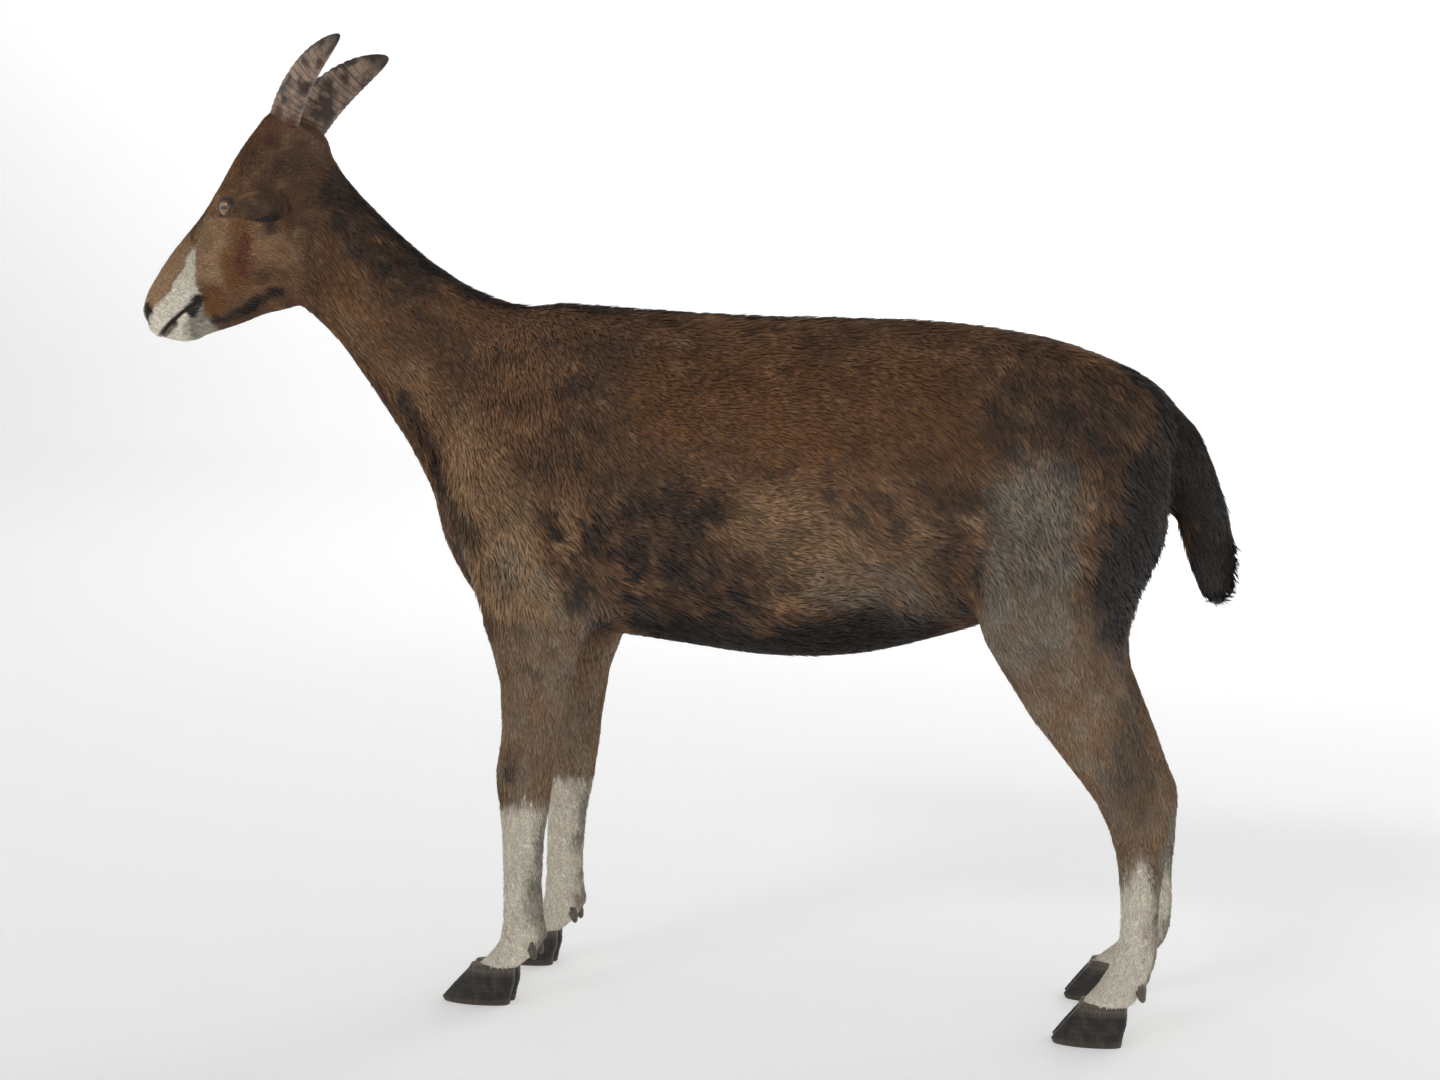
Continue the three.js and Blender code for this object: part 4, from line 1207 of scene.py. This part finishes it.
# Numbers for each region in turn: head, neck, trunk, tail, leg, ear.
TUFT_LENGTH = np.array([6.5, 15.5, 17.0, 22.0, 11.0, 6.5]) * MM
TUFT_WIDTH = np.array([1.1, 2.1, 2.35, 2.4, 1.55, 0.95]) * MM
TUFT_DENSITY = np.array([2.2, 1.0, 0.92, 1.3, 1.5, 1.9])
TUFT_SUNK = 0.0003
PATCH = 0.003              # how wide a tuft's patch is on the skin's map
# Where the coat grows longer: share added, reach and line, in millimetres on the left side.
LONG_COAT = (
    (0.45, 60, (0, 0, 400), (0, 280, 395)),           # belly
    (0.40, 40, (0, -250, 540), (0, -180, 420)),       # chest
    (0.30, 35, (0, -400, 760), (0, -260, 600)),       # throat
    (0.25, 26, (0, -390, 925), (0, 460, 695)),        # along the back
    (0.45, 50, (70, 545, 520), (78, 505, 380)),       # back of the thigh
    (0.30, 22, (84, 5, 430), (84, -10, 380)),         # behind the elbow
)


def lie_of_coat(points, normals, regions):
    """The way the coat lies at each point of the skin."""
    _, up = on_head(points)
    side = np.sign(points[:, 0]) * ramp(np.abs(points[:, 0]), 0, 0.03)
    count = np.ones(len(points))
    y, z = points[:, 1], points[:, 2]
    low = ramp(-up, -20, 70)
    head = columns(0.25 * side, 0.80 + 0.15 * low, 0.45 - 0.75 * low)
    neck = columns(0.15 * side, 0.72 * count, -0.69 * count)
    shoulder, thigh = bell(y + 0.13, 0.13), bell(y - 0.44, 0.13) * ramp(z, 0.35, 0.45)
    flank = ramp(np.abs(normals[:, 0]), 0.2, 0.8)
    down = np.maximum(0.55 * shoulder, 0.6 * thigh)
    chest = ramp(-normals[:, 1], 0.4, 0.8) * (y < 0)
    trunk = columns(0.10 * side, (0.95 - down) * (1 - chest), -(0.35 * flank + 0.75 * down) - chest)
    tail = columns(0.2 * side, 0.45 * count, -0.9 * count)
    gaskin = ramp(z, 0.2, 0.35) * (y > HIND_FROM)
    leg = columns(0 * count, 0.10 + 0.28 * gaskin, -1 * count)
    ear = EAR_OUT * columns(np.sign(points[:, 0]), count, count)
    each = zip(regions.T, (head, neck, trunk, tail, leg, ear))
    ways = sum(weight[:, None] * unit(way) for weight, way in each)
    ways = unit(ways - normals * np.sum(ways * normals, 1, keepdims=True) + 1e-6)
    curls = 0.25 + 0.35 * ramp(0.62 - z, 0, 0.12) * ramp(z, 0.34, 0.42) * (1 - regions[:, 0])
    turn = curls * lattice_noise(points, 0.045, 61) + 0.5 * curls * lattice_noise(points, 0.016, 62)
    return np.cos(turn)[:, None] * ways + np.sin(turn)[:, None] * np.cross(normals, ways)


def bend_along(net, points, normals, ways):
    """How strongly the skin curves away along the lie of the coat, per metre."""
    step = np.sum((points[net.end] - points[net.start]) * ways[net.start], 1)
    tilt = np.sum((normals[net.end] - normals[net.start]) * ways[net.start], 1)
    bend = net.total(step * tilt) / np.maximum(net.total(step * step), 1e-12)
    return np.clip(net.spread(bend, 3, 0.6), -35, 45)


def growth_of(points, regions):
    """Length, width and depth of the tufts at points of the skin."""
    length, width = regions @ TUFT_LENGTH, regions @ TUFT_WIDTH
    depth = regions @ coat_depths()
    along, _ = on_head(points)
    muzzle = ramp(along, 70, 135) * ramp(regions[:, 0], 0.3, 0.7)
    near_eye = 1 - ramp(eye_places(points)[-1], 0.001, 0.012)
    # Shorter on the muzzle, round the eyes and down the feet.
    short = 1 - 0.45 * muzzle - 0.5 * near_eye * (1 - muzzle)
    foot = 1 - 0.42 * ramp(0.30 - points[:, 2], 0, 0.16) * (1 - regions[:, 3])
    millimetres = mirrored(points) / MM
    longer = 1 + sum(share * bell(from_path(millimetres, (start, end)), reach)
                     for share, reach, start, end in LONG_COAT) * (1 - regions[:, 0])
    return length * short * foot * longer, width * (1 - 0.35 * muzzle) * foot ** 0.5, depth * short


def sown(mesh, total, chance):
    """Roots spread evenly over the skin: the triangle, the corner weights and the corners of each."""
    mesh.calc_loop_triangles()
    triangles = numbers(mesh.loop_triangles, "vertices", 3, np.int32)
    loops = numbers(mesh.loop_triangles, "loops", 3, np.int32)
    points = places(mesh)
    first, second, third = (points[triangles[:, i]] for i in range(3))
    area = np.linalg.norm(np.cross(second - first, third - first), axis=1) / 2
    regions, bare = regions_of(mesh), stored(mesh, "bare")
    wanted = area * (regions @ TUFT_DENSITY)[triangles].mean(1) * (bare[triangles].max(1) < 0.5)
    heap = np.cumsum(wanted) / wanted.sum()
    chosen = np.searchsorted(heap, (np.arange(total) + chance.random(total)) / total)
    chosen = np.minimum(chosen, len(triangles) - 1)
    share = chance.random((total, 2))
    share = np.where(share.sum(1, keepdims=True) > 1, 1 - share, share)
    weights = np.column_stack([1 - share.sum(1), share])
    return triangles[chosen], loops[chosen], weights


def between(values, corners, weights):
    """Values at places inside triangles, from those at their corners."""
    picked = values[corners]
    if values.ndim == 1:
        return np.sum(picked * weights, 1)
    return np.einsum("ijk,ij->ik", picked, weights)


# The coat's pieces: four whole ones, and five with a left and a right.
WHOLE_PLACES = ("head", "ears", "neck", "tail")
PAIRED_PLACES = ("shoulder", "barrel", "rump", "foreleg", "hind_leg")
COAT_PLACES = (*WHOLE_PLACES, *(f"{place}_{side}" for place in PAIRED_PLACES for side in SIDES))
SHOULDER_TO, BARREL_TO = -0.05, 0.25                    # where these pieces end towards the tail
MOST_TUFTS = 19900         # in one piece, which keeps it under 200,000 triangles
COAT_SEED = 7
# How tufts differ from each other: how far they swing about the coat's lie, and how much longer,
# wider and more raised than the mean they are. Draws above STRAYS_FROM stand up more.
SWING, LENGTHS, WIDTHS, LIFTS = 0.16, (0.72, 1.25), (0.7, 1.3), (0.75, 1.15)
STRAYS_FROM, STRAY_LIFT = 0.93, 0.35


def coat_places(roots, regions):
    """The coat piece that each root belongs to, as a place in COAT_PLACES."""
    right, back = (roots[:, 0] < 0).astype(int), roots[:, 1]
    shoulder, barrel, rump, foreleg, hind_leg = (
        COAT_PLACES.index(place + "_left") + right for place in PAIRED_PLACES)
    trunk = np.where(back < SHOULDER_TO, shoulder, np.where(back < BARREL_TO, barrel, rump))
    leg = np.where(back < HIND_FROM, foreleg, hind_leg)
    head, ears, neck, tail = range(len(WHOLE_PLACES))
    return np.choose(regions.argmax(1), [head, neck, trunk, tail, leg, ears])


# A tuft has three corners at its root, three in its middle and one at its tip. Of each corner:
# across, along, and height over the tuft's middle line in half widths.
TUFT_ACROSS = np.array([-0.62, 0.62, 0, -1, 1, 0, 0])
TUFT_ALONG = np.array([0, 0, 0, 0.48, 0.48, 0.48, 1])
TUFT_RISE = np.array([0, 0, 0.45, 0, 0, 0.55, 0.1])
TUFT_FACES = np.array([(0, 2, 1), (0, 1, 4), (0, 4, 3), (1, 2, 5), (1, 5, 4), (2, 0, 3), (2, 3, 5),
                       (3, 4, 6), (4, 5, 6), (5, 3, 6)])
TUFT_CORNERS = len(TUFT_ALONG)
# The corners' places in the tuft's patch on the skin's map.
TUFT_MAP = np.array([(0, 0.15), (1, 0.15), (0.5, 0), (0, 0.55), (1, 0.55), (0.5, 0.5), (0.5, 1)])


def tuft_points(roots, normals, ways, bend, length, width, depth, lift):
    """The corners of each tuft, lying along the skin and following its bend."""
    across = np.cross(normals, ways)
    run = length[:, None] * TUFT_ALONG
    rise = -TUFT_SUNK + depth[:, None] * TUFT_ALONG ** 0.8 * lift[:, None] - bend[:, None] * run ** 2 / 2
    rise += width[:, None] / 2 * TUFT_RISE
    aside = width[:, None] / 2 * TUFT_ACROSS
    return (roots[:, None] + run[..., None] * ways[:, None] + rise[..., None] * normals[:, None]
            + aside[..., None] * across[:, None])


def mesh_of_tufts(name, corners, spots):
    """One piece of tufts from their corners and their places on the skin's map."""
    count = len(corners)
    faces = (TUFT_FACES[None] + TUFT_CORNERS * np.arange(count)[:, None, None]).reshape(-1)
    mesh = bpy.data.meshes.new(name)
    mesh.vertices.add(TUFT_CORNERS * count)
    mesh.vertices.foreach_set("co", corners.astype(np.float32).ravel())
    mesh.loops.add(len(faces))
    mesh.loops.foreach_set("vertex_index", faces.astype(np.int32))
    mesh.polygons.add(len(faces) // 3)
    mesh.polygons.foreach_set("loop_start", np.arange(0, len(faces), 3, dtype=np.int32))
    mesh.update(calc_edges=True)
    patch = (TUFT_MAP - 0.5) * PATCH
    where = np.clip(spots[:, None] + patch, 0.001, 0.999).reshape(-1, 2)[faces]
    mesh.uv_layers.new(name="OFBake").uv.foreach_set("vector", where.astype(np.float32).ravel())
    mesh.shade_smooth()
    piece = bpy.data.objects.new(name, mesh)
    bpy.context.collection.objects.link(piece)
    return piece


def coat_pieces(skin):
    mesh = skin.data
    chance = np.random.default_rng(COAT_SEED)
    total = sizes().tufts // 1
    net = Net(mesh)
    points, normals, regions = places(mesh), normals_of(mesh), regions_of(mesh)
    regions = regions / regions.sum(1, keepdims=True)
    smooth = unit(net.spread(normals, 4, 0.5))
    ways = lie_of_coat(points, smooth, regions)
    bend = bend_along(net, points, smooth, ways)
    corners, loops, weights = sown(mesh, total, chance)
    map_places = numbers(mesh.uv_layers["OFBake"].uv, "vector", 2)
    roots, spots = between(points, corners, weights), between(map_places, loops, weights)
    own, normal = between(regions, corners, weights), unit(between(normals, corners, weights))
    normal = unit(normal + between(smooth, corners, weights))
    way = unit(between(ways, corners, weights) + SWING * chance.normal(size=(total, 3)))
    way = unit(way - normal * np.sum(way * normal, 1, keepdims=True))
    length, width, depth = growth_of(roots, own)
    length *= chance.uniform(*LENGTHS, total)
    width *= chance.uniform(*WIDTHS, total)
    lift = chance.uniform(*LIFTS, total) + STRAY_LIFT * (chance.random(total) > STRAYS_FROM)
    bend = between(bend, corners, weights)
    shapes = tuft_points(roots, normal, way, bend, length, width, depth, lift)
    found = markings(roots, own)
    tone = np.clip(0.5 + 0.22 * chance.normal(size=total) + 0.25 * lattice_noise(roots, 0.006, 71), 0, 1)
    belongs = coat_places(roots, own)
    material = fur_material()
    pieces = []
    for number, place in enumerate(COAT_PLACES):
        kept = np.flatnonzero(belongs == number)
        if len(kept) > MOST_TUFTS:
            raise RuntimeError(f"coat_{place} has {len(kept)} tufts, over {MOST_TUFTS}")
        piece = mesh_of_tufts("coat_" + place, shapes[kept], spots[kept])
        corner = np.repeat(kept, TUFT_CORNERS)
        store_markings(piece.data, roots[corner], {name: mark[corner] for name, mark in found.items()})
        store(piece.data, "along", np.tile(TUFT_ALONG, len(kept)))
        store(piece.data, "shade", tone[corner])
        dress(piece, material)
        pieces.append(piece)
    return pieces


# ---- stage ----

CAMERA_PLACE = (2.0574, 0.5574, 0.604)
CAMERA_BACK = (0.9713, 0.2314, 0.0550)
LENS, SENSOR = 50, 36                   # in millimetres
SKY, SKY_STRENGTH = "#f8f8f8", 0.30
# Each light: where it comes from, and its strength.
SUNS = {"key_light": ((0.86, -0.40, 0.34), 3.3), "fill_light": ((-0.80, 0.45, 0.50), 0.7)}
SUN_SPREAD = math.radians(28)
# The floor's outline from its underside, over the rim and down to its middle: how wide and how
# high it is at shares of the way.
FLOOR_WIDTHS = ((0, 0.06, 0.1, 0.5, 0.75, 1), (0.5, 7.1, 7.0, 5.4, 4.0, 0.5))
FLOOR_HEIGHTS = ((0, 0.06, 0.1, 0.3, 0.5, 0.66, 0.75, 1), (-0.05, -0.05, 4.2, 2.0, 0.55, 0.09, 0, 0))


def studio_floor():
    """A wide shallow bowl: flat under the goat, rising far behind it on every side."""
    piece, along, angle = tube("studio_floor", 96, 40)
    radius, height = (np.interp(along, *table) for table in (FLOOR_WIDTHS, FLOOR_HEIGHTS))
    points = columns(radius * np.cos(angle), radius * np.sin(angle), height)
    return shaped(piece, points, 1.4)


def soft_sun(name, toward, strength):
    """Even light over the whole stage from one side, soft as a large window's."""
    bpy.ops.object.light_add(type="SUN", location=Vector(toward) * 3)
    light = bpy.context.object
    light.name = light.data.name = name
    light.data.energy, light.data.angle = strength, SUN_SPREAD
    light.rotation_euler = Vector(toward).to_track_quat("Z", "Y").to_euler()


# ---- operators ----

def settled(piece, slot, *nodes):
    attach(piece, "root")
    if nodes:
        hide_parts(*nodes)


def fit_out(make, slot, nodes, material):
    """Makes a piece in place of each node, all of one material."""
    for node in nodes:
        piece = make(node)
        dress(piece, material)
        settled(piece, slot, node)


class GOAT_OT_skin(bpy.types.Operator):
    """Makes the skin of the whole goat, with its lids, nostrils, lips and markings"""
    bl_idname, bl_label = "goat.skin", "Skin"

    def execute(self, context):
        skin = skin_shape()
        mesh = skin.data
        points, regions = places(mesh), regions_of(mesh)
        regions = regions / regions.sum(1, keepdims=True)
        store_markings(mesh, points, markings(points, regions))
        store(mesh, "bare", bareness(points, regions))
        facing = normals_of(mesh) @ EAR_HOLLOW * regions[:, 5]
        store(mesh, "inner_ear", ramp(facing, 0.2, 0.6))
        dress(skin, skin_material())
        settled(skin, "coat", *FLESH)
        return {"FINISHED"}


class GOAT_OT_coat(bpy.types.Operator):
    """Covers the skin with short tufts of fur that lie the way a goat's coat does"""
    bl_idname, bl_label = "goat.coat", "Coat"

    def execute(self, context):
        for piece in coat_pieces(bpy.data.objects["skin"]):
            settled(piece, "coat")
        return {"FINISHED"}


class GOAT_OT_eyes(bpy.types.Operator):
    """Makes the two eyeballs, with amber irises and level slot pupils"""
    bl_idname, bl_label = "goat.eyes", "Eyes"

    def execute(self, context):
        fit_out(eyeball, "eye", [f"eye_{side}" for side in SIDES], eye_material())
        return {"FINISHED"}


class GOAT_OT_horns(bpy.types.Operator):
    """Makes the two ridged horns"""
    bl_idname, bl_label = "goat.horns", "Horns"

    def execute(self, context):
        fit_out(horn, "horn", [f"horn_{side}" for side in SIDES], horn_material())
        return {"FINISHED"}


class GOAT_OT_hooves(bpy.types.Operator):
    """Makes the eight claws and the eight dewclaws"""
    bl_idname, bl_label = "goat.hooves", "Hooves"

    def execute(self, context):
        nodes = [f"{kind}_{leg}_{place}" for leg in LEGS for place in ("inner", "outer")
                 for kind in HOOF_PARTS]
        fit_out(lambda node: HOOF_PARTS[node.split("_")[0]](node), "hoof", nodes, hoof_material())
        return {"FINISHED"}


class GOAT_OT_stage(bpy.types.Operator):
    """Sets the pale floor, the soft lights and the camera"""
    bl_idname, bl_label = "goat.stage", "Stage"

    def execute(self, context):
        floor = studio_floor()
        dress(floor, floor_material())
        scene = context.scene
        scene.view_settings.view_transform = "Standard"
        world = bpy.data.worlds.new("studio")
        world.use_nodes = True
        background = world.node_tree.nodes["Background"]
        background.inputs[0].default_value = (*linear(SKY), 1)
        background.inputs[1].default_value = SKY_STRENGTH
        scene.world = world
        for name, (toward, strength) in SUNS.items():
            soft_sun(name, toward, strength)
        bpy.ops.object.camera_add(location=CAMERA_PLACE)
        camera = context.object
        camera.name = camera.data.name = "camera"
        camera.rotation_euler = Vector(CAMERA_BACK).to_track_quat("Z", "Y").to_euler()
        camera.data.lens, camera.data.sensor_width = LENS, SENSOR
        scene.camera = camera
        return {"FINISHED"}


OPERATORS = (GOAT_OT_skin, GOAT_OT_coat, GOAT_OT_eyes, GOAT_OT_horns, GOAT_OT_hooves, GOAT_OT_stage)


class GOAT_PT_pieces(bpy.types.Panel):
    """Sizes and colours of the goat, and a button for each of its pieces"""
    bl_label, bl_space_type, bl_region_type, bl_category = "Standing goat", "VIEW_3D", "UI", "Goat"

    def draw(self, context):
        for settings in (context.scene.goat_sizes, context.scene.goat_colours):
            for name in settings.__annotations__:
                self.layout.prop(settings, name)
        for operator in OPERATORS:
            self.layout.operator(operator.bl_idname)


CLASSES = (GoatSizes, GoatColours, *OPERATORS, GOAT_PT_pieces)


def register():
    for kind in CLASSES:
        bpy.utils.register_class(kind)
    bpy.types.Scene.goat_sizes = PointerProperty(type=GoatSizes)
    bpy.types.Scene.goat_colours = PointerProperty(type=GoatColours)


def unregister():
    del bpy.types.Scene.goat_colours
    del bpy.types.Scene.goat_sizes
    for kind in reversed(CLASSES):
        bpy.utils.unregister_class(kind)


def main():
    register()
    for operator in OPERATORS:
        getattr(bpy.ops.goat, operator.bl_idname.split(".")[1])()


if __name__ == "__main__":
    main()
